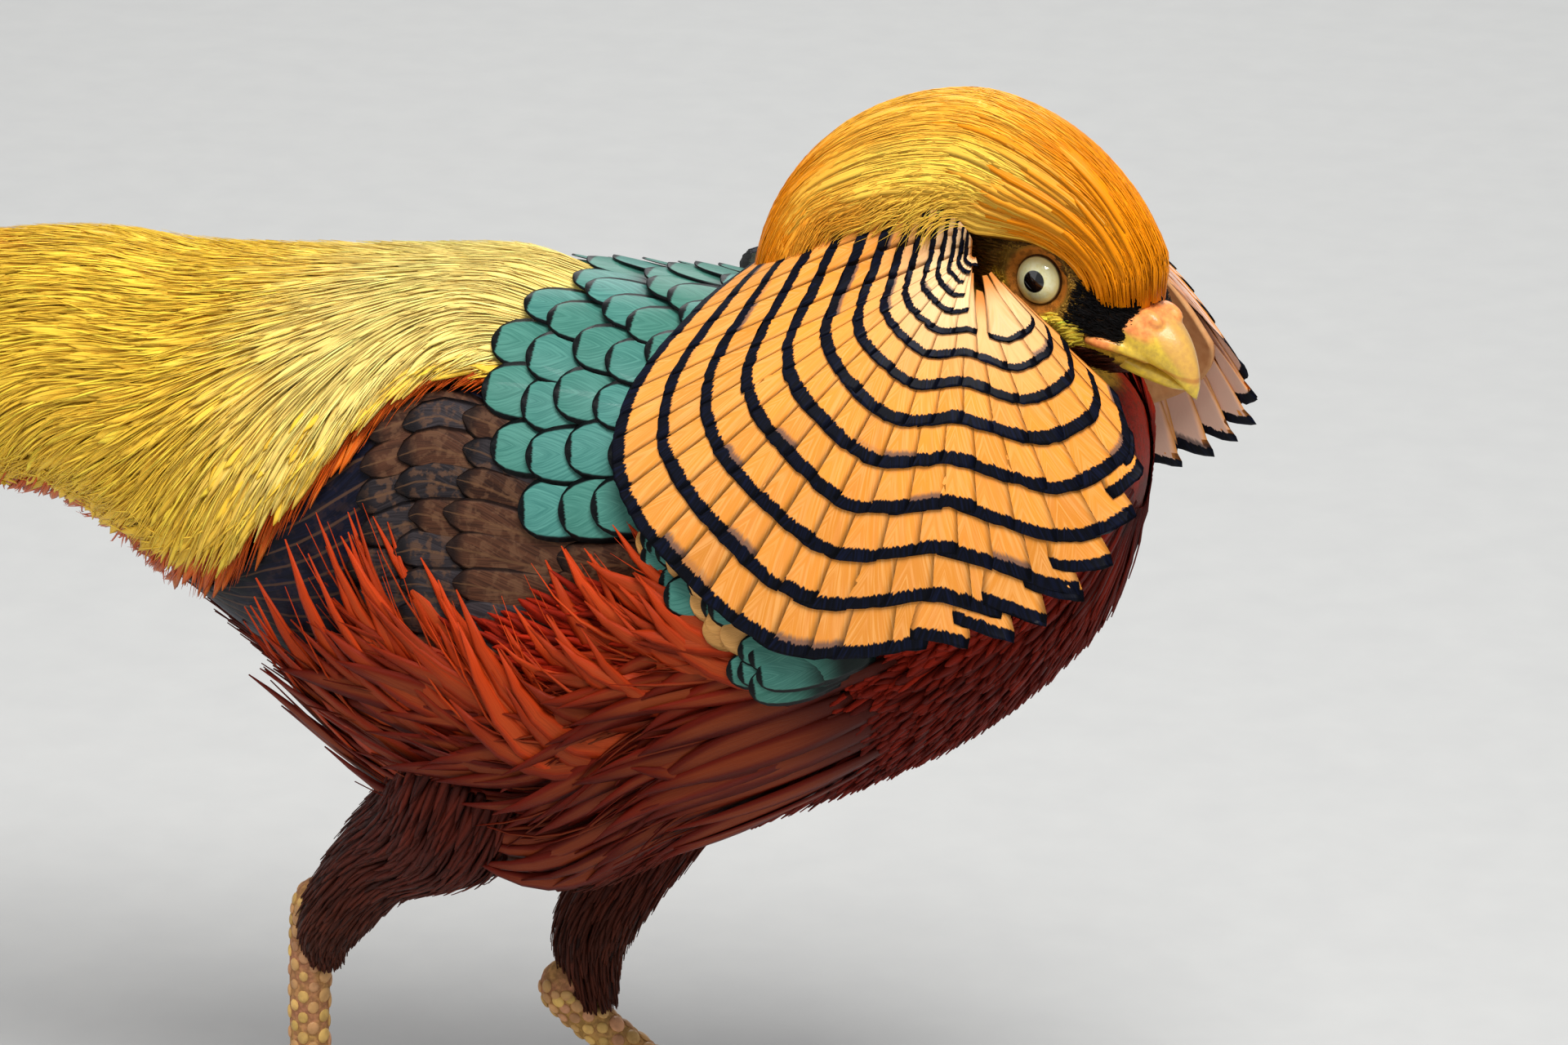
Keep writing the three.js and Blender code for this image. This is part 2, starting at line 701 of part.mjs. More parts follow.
function flankFeathers(side) {
  const vanes = [];
  for (const { count, drop, climb } of FLANK_TIERS)
    for (let k = 0; k < count; k++) {
      const tipX = lerp(-18, FLANK_REAR + 4, (k + drop) / (count - 0.5)) + vary(2);
      const rootX = tipX + 42 + vary(3);
      const tip = lerp(flankTop.readAt(tipX)[1] + 4, FLANK_LOW - 4, drop);
      const root = drop > 0 ? Math.min(FLANK_LOW - 8, tip + climb) : belowWing(rootX) + climb;
      const route = (s) => [lerp(rootX, tipX, s), -side * lerp(root, tip, s)];
      const rise = drop > 0 ? 2.6 : 2;
      const lift = (s) => Math.min(lerp(FLANK_CORE - 1.2, FLANK_DEPTH + rise, s), FLANK_DEPTH - 1.2 - drop);
      vanes.push(vane(onTrunk, { route, lift, half: 5.2, widths: LANCE, thick: 1 }));
    }
  return vanes;
}

// Rump: hair-like feathers behind the mantle, down to the wings and round the root of the tail.
const RUMP_REAR = -196;
const rumpSide = stations([
  [-30, 63],
  [-38, 62.5],
  [-50, 54.5],
  [-62, 47],
  [-76, 54],
  [-96, 77],
  [-108, 95],
  [-122, 119],
  [-142, 140],
  [RUMP_REAR, 150],
]);
function onRump(share, across, height) {
  const x = lerp(mantleRear(60 * across) - 0.5, RUMP_REAR, share);
  return onSleeve(x, across * rumpSide.readAt(x)[1], height);
}
function rumpPlate(columns, rows, low, high, spare = 0, reach = 1) {
  const edge = spare / 100;
  const place = (u, v) => [lerp(-edge, reach + edge, v), (2 * u - 1) * (1 + edge)];
  return cover(onRump, columns, rows, place, low, high);
}
const RUMP_TIERS = [
  { tip: 0.34, count: 6 },
  { tip: 0.56, count: 7 },
  { tip: 0.78, count: 8 },
  { tip: 1, count: 8 },
];
function rumpLocks() {
  const locks = [];
  for (const { tip, count } of RUMP_TIERS)
    for (let k = 0; k < count; k++) {
      const across = 2 * ((k + 0.5) / count) - 1;
      const end = Math.min(1, tip + vary(0.02));
      const route = (s) => [lerp(tip - 0.34, end, s), across];
      const lift = (s) => lerp(STAND_OFF + 1.2, RUMP_DEPTH - 1.4, s);
      locks.push(vane(onRump, { route, lift, half: 0.92 / count, widths: SPEAR, thick: 1.2 }));
    }
  return locks;
}

// Tail coverts: long narrow feathers along both sides of the tail.
const COVERT_FRONT = -168;
function covertPlate(side, low, high) {
  const place = (u, v) => [lerp(COVERT_FRONT, -206, v), -side * lerp(5, 132, u)];
  return cover(onSleeve, 7, 3, place, low, high);
}
function covertFeathers(side) {
  const vanes = [];
  const count = 7;
  for (let k = 0; k < count; k++) {
    const turn = lerp(14, 122, k / (count - 1));
    const end = lerp(-345, -235, (k % 3) / 2) + vary(8);
    const route = (s) => [lerp(-180, end, s), -side * turn];
    const lift = (s) => lerp(-3.5, 1, s);
    vanes.push(vane(onSleeve, { route, lift, half: 7, widths: QUILL, thick: 1 }));
  }
  return vanes;
}

// Tail: back is the distance from the root, across runs to the bird's left, height over the roof.
function tailSurface(back, across, height) {
  const share = back / TAIL_LENGTH;
  const pitch = TAIL_PITCH * (1 - 0.5 * share);
  const fall = pitch * (Math.hypot(across, 3) - 3);
  const drop = TAIL_SLOPE * back + TAIL_SAG * back * back;
  return TAIL_ROOT.clone().add(vec(-back, across, TAIL_RIDGE * (1 - 0.7 * share) - drop - fall + height));
}
function tailWidth(back) {
  return lerp(9, 20, smooth(back, 0, 140)) * lerp(1, 0.25, clamp(back / TAIL_LENGTH, 0, 1) ** 1.5);
}
const onTail = (back, across, height) => tailSurface(back, across * tailWidth(back), height);
function tailRoof(rows, reach, grow) {
  return slab(4, rows, (u, v, top) => {
    const back = TAIL_LENGTH * reach * v;
    const depth = lerp(15, 1.2, Math.min(1, v * reach * 1.6));
    return tailSurface(back, (tailWidth(back) + grow) * (2 * u - 1), top ? grow : -depth - grow);
  });
}
function tailFeathers() {
  const vanes = [];
  TAIL_PAIRS.forEach((share, pair) => {
    for (const [, side] of SIDES) {
      const length = TAIL_LENGTH * share - (side > 0 ? 6 : 0);
      const middle = pair === 0 ? 0 : 0.5 * side;
      const depth = pair === 0 ? 1.8 - side * 0.7 : 3.4 + 1.3 * pair;
      const route = (s) => [lerp(6, length, s), middle];
      const lift = () => -depth - 0.5;
      const half = pair === 0 ? 0.9 : 0.46;
      vanes.push(vane(onTail, { route, lift, half, widths: pair === 0 ? PLUME : QUILL, hollow: true }));
    }
  });
  return vanes;
}

// Everything on one side of the middle, for pieces that meet there.
function sideBlock(side) {
  const block = new THREE.BoxGeometry(1200, 400, 600);
  block.translate(-300, side * (200 + GAP / 2), 200);
  return solid(block);
}

const head = headSolid();
const neck = fuse([neckForm(0)], [torsoGrown, skullGrown, ...foldForms(2 * GAP)]);
const neckGrown = neckForm(GAP);
const mantle = fuse([mantlePlate(9, 4, STAND_OFF, 2.2, 0, 0.86), ...mantleFeathers()]);
const mantleGrown = mantlePlate(12, 5, 0, MANTLE_DEPTH + GAP, 0.6);
const tailCore = tailRoof(1, 0.07, 1.2);
const tail = fuse([tailCore, ...tailFeathers()], [torsoGrown]);
const tailGrown = tailRoof(9, 1, 1.6);
const rump = fuse([rumpPlate(12, 6, STAND_OFF + 3 * GAP, 3.4, 0, 0.9), ...rumpLocks()], [tailGrown]);
const rumpGrown = rumpPlate(14, 8, 0, RUMP_DEPTH + GAP, 0.8);
const crest = fuse([crestHood(8, 7, -CREST_DEPTH, -CREST_DEPTH / 2), ...crestLocks()], [skullGrown, neckGrown]);
const crestGrown = crestHood(8, 8, -CREST_DEPTH - GAP, 1, 1);

const model = new THREE.Group();
// The model's origin is the middle of the pad under the right foot.
model.position.set(-LEGS.right.foot[0] - 1, -LEGS.right.foot[1], 0);
function add(name, body, colour, roughness = 0.7) {
  const mesh = body.getMesh();
  const geometry = new THREE.BufferGeometry();
  geometry.setAttribute("position", new THREE.BufferAttribute(new Float32Array(mesh.vertProperties), 3));
  geometry.setIndex(new THREE.BufferAttribute(new Uint32Array(mesh.triVerts), 1));
  geometry.computeVertexNormals();
  const material = new THREE.MeshStandardMaterial({ color: colour, roughness, metalness: 0 });
  const made = new THREE.Mesh(geometry, material);
  made.name = name;
  model.add(made);
}
add("torso", torso, "#7a1410");
add("neck", neck, "#a8501c");
add("head", head, "#8a5a26");
const upperBillForm = billForm(UPPER_BILL, 8, false);
add("upper_bill", upperBillSolid(upperBillForm), "#d8b84a", 0.4);
add("lower_bill", fuse([billForm(LOWER_BILL, 6, true)], [skullGrown, upperBillForm]), "#d8b84a", 0.4);
for (const [name, side] of SIDES) {
  add("eye_" + name, ball(headPoint(0, side * EYE_OUT, 0), EYE_RADIUS), "#e8e2a0", 0.1);
  const surface = capeSurface(CAPE[name]);
  const core = slab(9, 4, (u, v, top) => surface(lerp(0.02, 0.74, v), u, top ? 1.6 - CAPE_THICK : -CAPE_THICK));
  const wing = fuse([wingPlate(side, 4, 6, STAND_OFF, 1.8, 0, 0.9), ...wingFeathers(side)]);
  const wingGrown = wingPlate(side, 4, 7, 0, WING_DEPTH + GAP, 0.6);
  const flank = fuse([flankPlate(side, 4, 5, STAND_OFF + GAP, FLANK_CORE, belowWing), ...flankFeathers(side)]);
  const flankGrown = flankPlate(side, 5, 6, 0, FLANK_DEPTH + GAP, (x) => flankTop.readAt(x)[1], 0.8);
  const clear = [torsoGrown, skullGrown, neckGrown, crestGrown, mantleGrown, wingGrown, flankGrown];
  const cape = fuse([core, ...capeFeathers(surface)], clear).intersect(sideBlock(side));
  add("cape_" + name, fuse([cape]), "#e8963c");
  add("wing_" + name, wing, "#3a2a24");
  add("flank_" + name, flank, "#b03a18");
  const coverts = fuse([covertPlate(side, -4.4, -2), ...covertFeathers(side)]);
  add("tail_coverts_" + name, fuse([coverts], [rumpGrown, tailGrown]), "#c83a1a");
  const leg = legForms(LEGS[name]);
  const thighClear = flankPlate(side, 5, 6, -1, FLANK_DEPTH + GAP, (x) => flankTop.readAt(x)[1], 3);
  add("thigh_" + name, fuse([leg.thigh], [torsoGrown, thighClear]), "#5a1c14");
  add("tarsus_" + name, fuse([leg.shank], [leg.thighGrown]), "#d8b070", 0.5);
  add("foot_" + name, fuse([leg.foot], [leg.shankGrown]), "#d8b070", 0.5);
}
add("crest", crest, "#f0b428");
add("mantle", mantle, "#1f5a4c");
add("back_and_rump", rump, "#e0b428");
add("tail", tail, "#8a6a3a");
export default model;
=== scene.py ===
# %% [markdown]
# # A male golden pheasant, feather by feather
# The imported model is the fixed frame: a life-size bird in metres, its origin under the right foot.
# This lesson dresses it. A coat can be hair curves, or flat cards with a picture of a feather. Here
# every feather is a small closed mesh, laid by formula on the same surfaces as the solids. So it fits
# the body from any side, needs no picture, and exports as it is.

import math

import bpy
import numpy as np
from mathutils import Matrix


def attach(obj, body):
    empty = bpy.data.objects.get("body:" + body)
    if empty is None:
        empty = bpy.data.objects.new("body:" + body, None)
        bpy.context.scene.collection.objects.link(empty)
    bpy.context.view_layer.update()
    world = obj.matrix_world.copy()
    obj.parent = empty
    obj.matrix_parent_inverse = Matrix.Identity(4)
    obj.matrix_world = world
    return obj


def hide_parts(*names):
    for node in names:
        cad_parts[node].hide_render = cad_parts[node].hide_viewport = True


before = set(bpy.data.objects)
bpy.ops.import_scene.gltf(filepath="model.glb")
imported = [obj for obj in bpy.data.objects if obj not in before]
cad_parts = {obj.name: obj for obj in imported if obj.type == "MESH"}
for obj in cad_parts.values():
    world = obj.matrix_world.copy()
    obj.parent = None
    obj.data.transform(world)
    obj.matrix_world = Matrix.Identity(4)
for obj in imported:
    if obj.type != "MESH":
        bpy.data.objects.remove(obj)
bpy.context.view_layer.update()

# %% [markdown]
# ## The camera
# A long lens looks down on the bird's right side from a little ahead of it. A camera can be moved by
# hand until the view fits, but two angles and a distance can be checked against the photograph. It
# comes first, because every later choice is judged through it.

# %% Camera
ORIGIN = np.array([96.0, 20.0, 0.0])  # the bird's own frame, in mm, starts here in the model's frame
LOOK_AT = np.array([0.0, 0.0, 164.0])
AZIMUTH = math.radians(15)
ELEVATION = math.radians(20)
DISTANCE = 1200.0
LENS = 135  # mm, on a sensor 36 mm wide


def metres(points):
    """Places in the bird's own millimetres as places in Blender."""
    return (np.asarray(points, float) + ORIGIN) / 1000


def turned_to(x_way, y_way, z_way):
    """The rotation whose own axes point these three ways."""
    return Matrix(np.array([x_way, y_way, z_way]).T.tolist()).to_quaternion()


backward = np.array([
    math.sin(AZIMUTH) * math.cos(ELEVATION), -math.cos(AZIMUTH) * math.cos(ELEVATION),
    math.sin(ELEVATION),
])
rightward = np.array([math.cos(AZIMUTH), math.sin(AZIMUTH), 0.0])
camera = bpy.data.objects.new("camera", bpy.data.cameras.new("camera"))
bpy.context.scene.collection.objects.link(camera)
camera.data.sensor_width = 36
camera.data.lens = LENS
camera.data.clip_end = 20
camera.location = metres(LOOK_AT + backward * DISTANCE)
camera.rotation_mode = "QUATERNION"
camera.rotation_quaternion = turned_to(rightward, np.cross(backward, rightward), backward)
bpy.context.scene.camera = camera
print("camera", [round(v, 3) for v in camera.location])

# %% [markdown]
# ## The bird's own surfaces
# A feather lies on the body, so the body must be known at every place. It could be a sculpted mesh
# that each feather is snapped to. Here it is a formula: a row of oval sections from breast to vent
# with a smooth curve through them. A place is x, a turn round the body in degrees (0 is the back, 90
# the bird's right side) and a height over the surface. A formula reads thousands of places at once.

# %% Small helpers for arrays of numbers
def smooth(value, low, high):
    """0 below low and 1 above high, with a soft start and end."""
    t = np.clip((value - low) / (high - low), 0, 1)
    return t * t * (3 - 2 * t)


def lerp(a, b, t):
    return a + (b - a) * t


def unit(vectors):
    return vectors / np.maximum(np.linalg.norm(vectors, axis=-1, keepdims=True), 1e-9)


def through(rows):
    """A smooth curve through the rows of a table, read by row number, and a way to find the row."""
    rows = np.array(rows, float)
    last = len(rows) - 1

    def at(u):
        u = np.clip(np.asarray(u, float), 0, last)
        i = np.minimum(u.astype(int), last - 1)
        f = (u - i)[..., None]
        p, q = rows[np.maximum(i - 1, 0)], rows[i]
        r, s = rows[i + 1], rows[np.minimum(i + 2, last)]
        bend = (2 * p - 5 * q + 4 * r - s) * f**2 + (3 * q - p - 3 * r + s) * f**3
        return 0.5 * (2 * q + (r - p) * f + bend)

    steps = np.linspace(0, last, 2000)
    column = at(steps)[:, 0]
    order = np.argsort(column)

    def find(value):
        return np.interp(value, column[order], steps[order])

    return at, find


print("half way from 0 to 1, soft:", smooth(0.5, 0, 1))

# %% Body sections, in millimetres: x, height of the middle, half height, half width
TRUNK = [
    [78, 183, 0, 0], [75, 182, 15, 17], [63, 176, 31, 34], [42, 168, 43, 45], [16, 161, 51, 50],
    [-14, 154, 58, 52], [-44, 147, 65, 51], [-74, 154, 56, 47], [-100, 165, 43, 40], [-125, 175, 32, 31],
    [-146, 182, 22, 22], [-160, 184, 12, 12], [-166, 184, 0, 0],
]
# The plumage runs on past the vent as a sleeve round the tail's root.
SLEEVE = TRUNK[:10] + [
    [-150, 184.5, 24, 23], [-180, 184, 21, 20.5], [-220, 180.5, 19, 20], [-270, 175, 17.5, 20.5],
    [-330, 167, 16.5, 21], [-390, 159, 16, 21],
]


def oval_surface(table, section):
    """A surface through the sections of a table, and a way to find the row of an x."""
    at, find = through(table)
    last = len(table) - 1

    def point(u, turn, height=0.0):
        u, turn, height = np.broadcast_arrays(np.asarray(u, float), turn, height)
        near = np.clip(u, 0.02, last - 0.02)
        along = section(at(near + 0.01), turn) - section(at(near - 0.01), turn)
        across = section(at(near), turn + 0.01) - section(at(near), turn - 0.01)
        outward = section(at(near), turn) - section(at(near), turn + math.pi)
        normal = unit(np.cross(across, along))
        normal = normal * np.sign((normal * outward).sum(-1, keepdims=True))
        return section(at(u), turn) + normal * height[..., None]

    return point, find


def body_section(row, turn):
    y = -row[..., 3] * np.sin(turn)
    z = row[..., 1] + row[..., 2] * np.cos(turn)
    return np.stack([row[..., 0], y, z], -1)


trunk_point, trunk_find = oval_surface(TRUNK, body_section)
sleeve_point, sleeve_find = oval_surface(SLEEVE, body_section)


def on_trunk(x, turn, height=0.0):
    return trunk_point(trunk_find(x), np.radians(turn), height)


def on_sleeve(x, turn, height=0.0):
    return sleeve_point(sleeve_find(x), np.radians(turn), height)


print("widest section", on_trunk(-14, 90).round(1))

# %% The head's place and its three ways
HEAD = np.array([61.5, -8.0, 226.0])
HEAD_TURN = math.radians(30)
HEAD_TIP = math.radians(16)
RIGHT, LEFT = -1, 1
SIDES = {"right": RIGHT, "left": LEFT}
forward = np.array([
    math.cos(HEAD_TURN) * math.cos(HEAD_TIP), -math.sin(HEAD_TURN) * math.cos(HEAD_TIP),
    -math.sin(HEAD_TIP),
])
leftward = np.array([math.sin(HEAD_TURN), math.cos(HEAD_TURN), 0.0])
upward = np.cross(forward, leftward)
# Skull sections from the back of the head: forward, up, half height, half width.
SKULL = [
    [-27, 2, 0, 0], [-24, 1, 8, 8], [-14, 0, 14, 12.5], [-3, -1, 16, 13], [7, -2, 14.5, 12],
    [15, -3.5, 11, 9.5], [21, -4.5, 7.5, 6.5], [24, -5, 0, 0],
]


def head_point(f, l, u):
    """A place in the head, f mm forward, l to its left and u up."""
    f, l, u = np.broadcast_arrays(f, l, u)
    return HEAD + f[..., None] * forward + l[..., None] * leftward + u[..., None] * upward


print("brow at", head_point(15.0, 0.0, 8.0).round(1))

# %% The crest: part of a ball over the crown, from the brow (share 0) to the nape (share 1)
CREST_CENTRE = np.array([40.0, -3.0, 214.0])
CREST_RADIUS = 46
CREST_SPAN = (math.radians(18), math.radians(176))
CREST_DEPTH = 10
# The lower edge, as degrees from the brow and degrees down the side.
CREST_EDGE_AT = [18, 27, 32, 39, 47, 55, 65, 95, 109, 128, 143, 176]
CREST_EDGE = [37, 38, 39, 42, 46, 51, 55, 58, 57, 52, 44, 38]


def crest_limit(share):
    """How far down the side the crest reaches, in degrees."""
    angle = np.degrees(lerp(*CREST_SPAN, np.clip(share, 0, 1)))
    return np.interp(angle, CREST_EDGE_AT, CREST_EDGE)


def on_crest(share, across, height=0.0):
    share, across, height = np.broadcast_arrays(np.asarray(share, float), across, height)
    angle = lerp(*CREST_SPAN, share)
    radius = CREST_RADIUS + height
    wide = lerp(17, 27, smooth(share, 0, 0.5)) + height
    tilt = np.radians(across * crest_limit(share))
    x = radius * np.cos(tilt) * np.cos(angle)
    z = radius * np.cos(tilt) * np.sin(angle)
    turn = HEAD_TURN * (1 - smooth(share, 0.1, 0.7))
    swing = 0.42 * np.maximum(0, x)
    spread = wide * np.sin(tilt)
    return CREST_CENTRE + np.stack([x - np.sin(turn) * spread, -swing - np.cos(turn) * spread, z], -1)


print("crest top", on_crest(0.45, 0).round(1))

# %% The cape: two fans, each from a point by the ear out to a rim on the shoulder
CAPE = {
    "right": (
        [44.6, -22, 232],
        [
            [75, -27, 205], [79, -34, 192], [68, -45, 172], [44, -54, 162], [16, -59, 159],
            [-6, -59, 174], [-20, -52, 189], [-21, -40, 203], [-13, -21, 215], [-7, -3, 219],
        ],
    ),
    "left": (
        [60, 16, 231],
        [
            [76, 30, 209], [88, 36, 192], [82, 43, 176], [56, 52, 163], [22, 59, 159],
            [-2, 59, 174], [-18, 52, 190], [-20, 40, 204], [-13, 21, 215], [-7, 3, 219],
        ],
    ),
}
CAPE_BULGE = 10  # mm, how far the fan swells out between ear and rim
CAPE_RISE = 13  # mm, how far it stands up under the crest


def cape_surface(name):
    """along runs from the ear (0) to the rim (1), round_ along the rim from the throat to the nape."""
    ear, rim = CAPE[name]
    ear = np.array(ear, float)
    edge, _ = through(rim)
    last = len(rim) - 1
    outward = unit(np.array([0.25, np.sign(ear[1]), 0.35]))
    under_crest = unit(np.array([0.05, 0.35 * np.sign(ear[1]), 0.94]))

    def point(along, round_, height=0.0):
        along, round_, height = np.broadcast_arrays(np.asarray(along, float), round_, height)
        round_ = np.clip(round_, -0.1, 1.1)
        inside = np.clip(round_, 0.01, 0.99)
        inner = np.clip(along, 0, 1)
        swell = np.sin(math.pi * inner**0.8) * np.sin(math.pi * np.clip(round_ * 1.1 + 0.08, 0, 1))
        rise = CAPE_RISE * np.sin(math.pi * inner**0.6) * smooth(round_, 0.76, 1.0)
        slope = (edge((inside + 0.01) * last) - edge((inside - 0.01) * last)) / 0.02
        reach = edge(inside * last) + slope * (round_ - inside)[..., None] - ear
        bulge = outward * (CAPE_BULGE * swell + height)[..., None]
        return ear + reach * along[..., None] + bulge + under_crest * rise[..., None]

    return point


print("cape rim, right", cape_surface("right")(1.0, 0.5).round(1))

# %% The tail: a steep roof that narrows and sags towards its tip
TAIL_ROOT = np.array([-160.0, 0.0, 184.0])
TAIL_LENGTH = 715
TAIL_SLOPE = 0.09
TAIL_SAG = 0.000125
TAIL_RIDGE = 12
TAIL_PITCH = 0.72


def tail_width(away):
    share = np.clip(away / TAIL_LENGTH, 0, 1)
    return lerp(9, 20, smooth(away, 0, 140)) * lerp(1, 0.25, share**1.5)


def on_tail(away, across, height=0.0):
    away, across, height = np.broadcast_arrays(np.asarray(away, float), across, height)
    across = across * tail_width(away)
    share = away / TAIL_LENGTH
    pitch = TAIL_PITCH * (1 - 0.5 * share)
    fall = pitch * (np.hypot(across, 3) - 3)
    drop = TAIL_SLOPE * away + TAIL_SAG * away**2
    z = TAIL_RIDGE * (1 - 0.7 * share) - drop - fall + height
    return TAIL_ROOT + np.stack([-away, across, z], -1)


print("tail tip", on_tail(TAIL_LENGTH, 0).round(1))

# %% [markdown]
# ## Meshes from arrays
# A bird wears thousands of feathers, and copies of one modelled feather would all be the same. So a
# feather is a blade: a ring of points at each step from root to tip, joined to the next ring and closed
# by a flat under side. All the feathers of one kind become one mesh in one call. Each vertex carries
# its feather's colour and a number of luck. Of the two UV maps, "vane" runs across and along the
# feather, and "OFBake" puts the whole feather in a tiny patch at its root's place on the body.

# %% Unwrapping the bird
PATCH = 0.003  # the size of a feather's patch on the unwrapped body


def unwrap(points):
    """Unrolls the bird round a line along its middle: x along, the turn round the line up."""
    points = np.asarray(points, float)
    along = (points[..., 0] + 880) / 1020
    middle = np.interp(points[..., 0], [-875, -160, -60, 60, 80], [105, 180, 160, 185, 215])
    turn = np.arctan2(points[..., 1], points[..., 2] - middle)
    return np.stack([0.02 + 0.96 * along, 0.5 + 0.48 * turn / math.pi], -1)


print("the right eye unwraps to", unwrap(head_point(-1.0, -6.0, -1.0)).round(3))

# %% Making a mesh and its layers
def placed(name, data):
    """A new object in the scene."""
    made = bpy.data.objects.new(name, data)
    bpy.context.scene.collection.objects.link(made)
    return made


def new_mesh(name, points, faces):
    """faces is a list of arrays, each of faces with the same number of corners."""
    mesh = bpy.data.meshes.new(name)
    corners = np.concatenate([f.ravel() for f in faces]).astype(np.int32)
    sizes = np.concatenate([np.full(len(f), f.shape[1]) for f in faces])
    starts = np.concatenate([[0], np.cumsum(sizes)[:-1]]).astype(np.int32)
    mesh.vertices.add(len(points))
    mesh.vertices.foreach_set("co", metres(points).astype(np.float32).ravel())
    mesh.loops.add(len(corners))
    mesh.loops.foreach_set("vertex_index", corners)
    mesh.polygons.add(len(sizes))
    mesh.polygons.foreach_set("loop_start", starts)
    mesh.polygons.foreach_set("use_smooth", np.ones(len(sizes), bool))
    mesh.update(calc_edges=True)
    return placed(name, mesh), corners


def facing_out(points, faces):
    """The faces of a closed form, turned round together if they point inwards."""
    volume = 0
    for group in faces:
        for k in range(1, group.shape[1] - 1):
            p, q, r = points[group[:, 0]], points[group[:, k]], points[group[:, k + 1]]
            volume += (p * np.cross(q, r)).sum()
    return faces if volume > 0 else [group[:, ::-1] for group in faces]


def add_uv(mesh, name, values):
    layer = mesh.uv_layers.new(name=name)
    layer.data.foreach_set("uv", np.asarray(values, np.float32).ravel())


def add_colour(mesh, name, values):
    layer = mesh.color_attributes.new(name, "FLOAT_COLOR", "POINT")
    padded = np.concatenate([values, np.ones((len(values), 1))], -1)
    layer.data.foreach_set("color", padded.astype(np.float32).ravel())


def add_number(mesh, name, values):
    layer = mesh.attributes.new(name, "FLOAT", "POINT")
    layer.data.foreach_set("value", np.asarray(values, np.float32).ravel())


def mesh_points(mesh):
    """The places of a mesh's vertices, in the bird's own millimetres."""
    flat = np.zeros(len(mesh.vertices) * 3, np.float32)
    mesh.vertices.foreach_get("co", flat)
    return flat.reshape(-1, 3) * 1000.0 - ORIGIN


def wrapped(made):
    """Gives a form its OFBake map and smooth faces, and returns its places."""
    points = mesh_points(made.data)
    corners = np.zeros(len(made.data.loops), np.int32)
    made.data.loops.foreach_get("vertex_index", corners)
    add_uv(made.data, "OFBake", unwrap(points)[corners])
    made.data.polygons.foreach_set("use_smooth", np.ones(len(made.data.polygons), bool))
    return points


def finish_piece(made, material, slot, *nodes):
    """The material, the body it rides on and the solids it stands for. slot is not used."""
    made.data.materials.clear()
    made.data.materials.append(material)
    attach(made, "root")
    if nodes:
        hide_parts(*nodes)
    triangles = sum(len(p.vertices) - 2 for p in made.data.polygons)
    print(made.name, triangles, "triangles")

# %% [markdown]
# Most feathers are narrow, so a flat cross row is enough. A cape feather is broad and lies on a tight
# curve, where a flat row would cut into its neighbours. Given its half width as a step round the fan,
# each cross row is laid point by point on the surface and bends with it.

# %% Feathers on a surface
UNDER = 0.12  # mm, how far the under side of a bent feather lies below its middle


def strokes(root, tip, along, power=1.0, flip=1):
    """One row of steps for each feather, from its root to its tip."""
    root, tip = np.broadcast_arrays(np.atleast_1d(root), tip)
    return flip * lerp(root[:, None], tip[:, None], along**power)


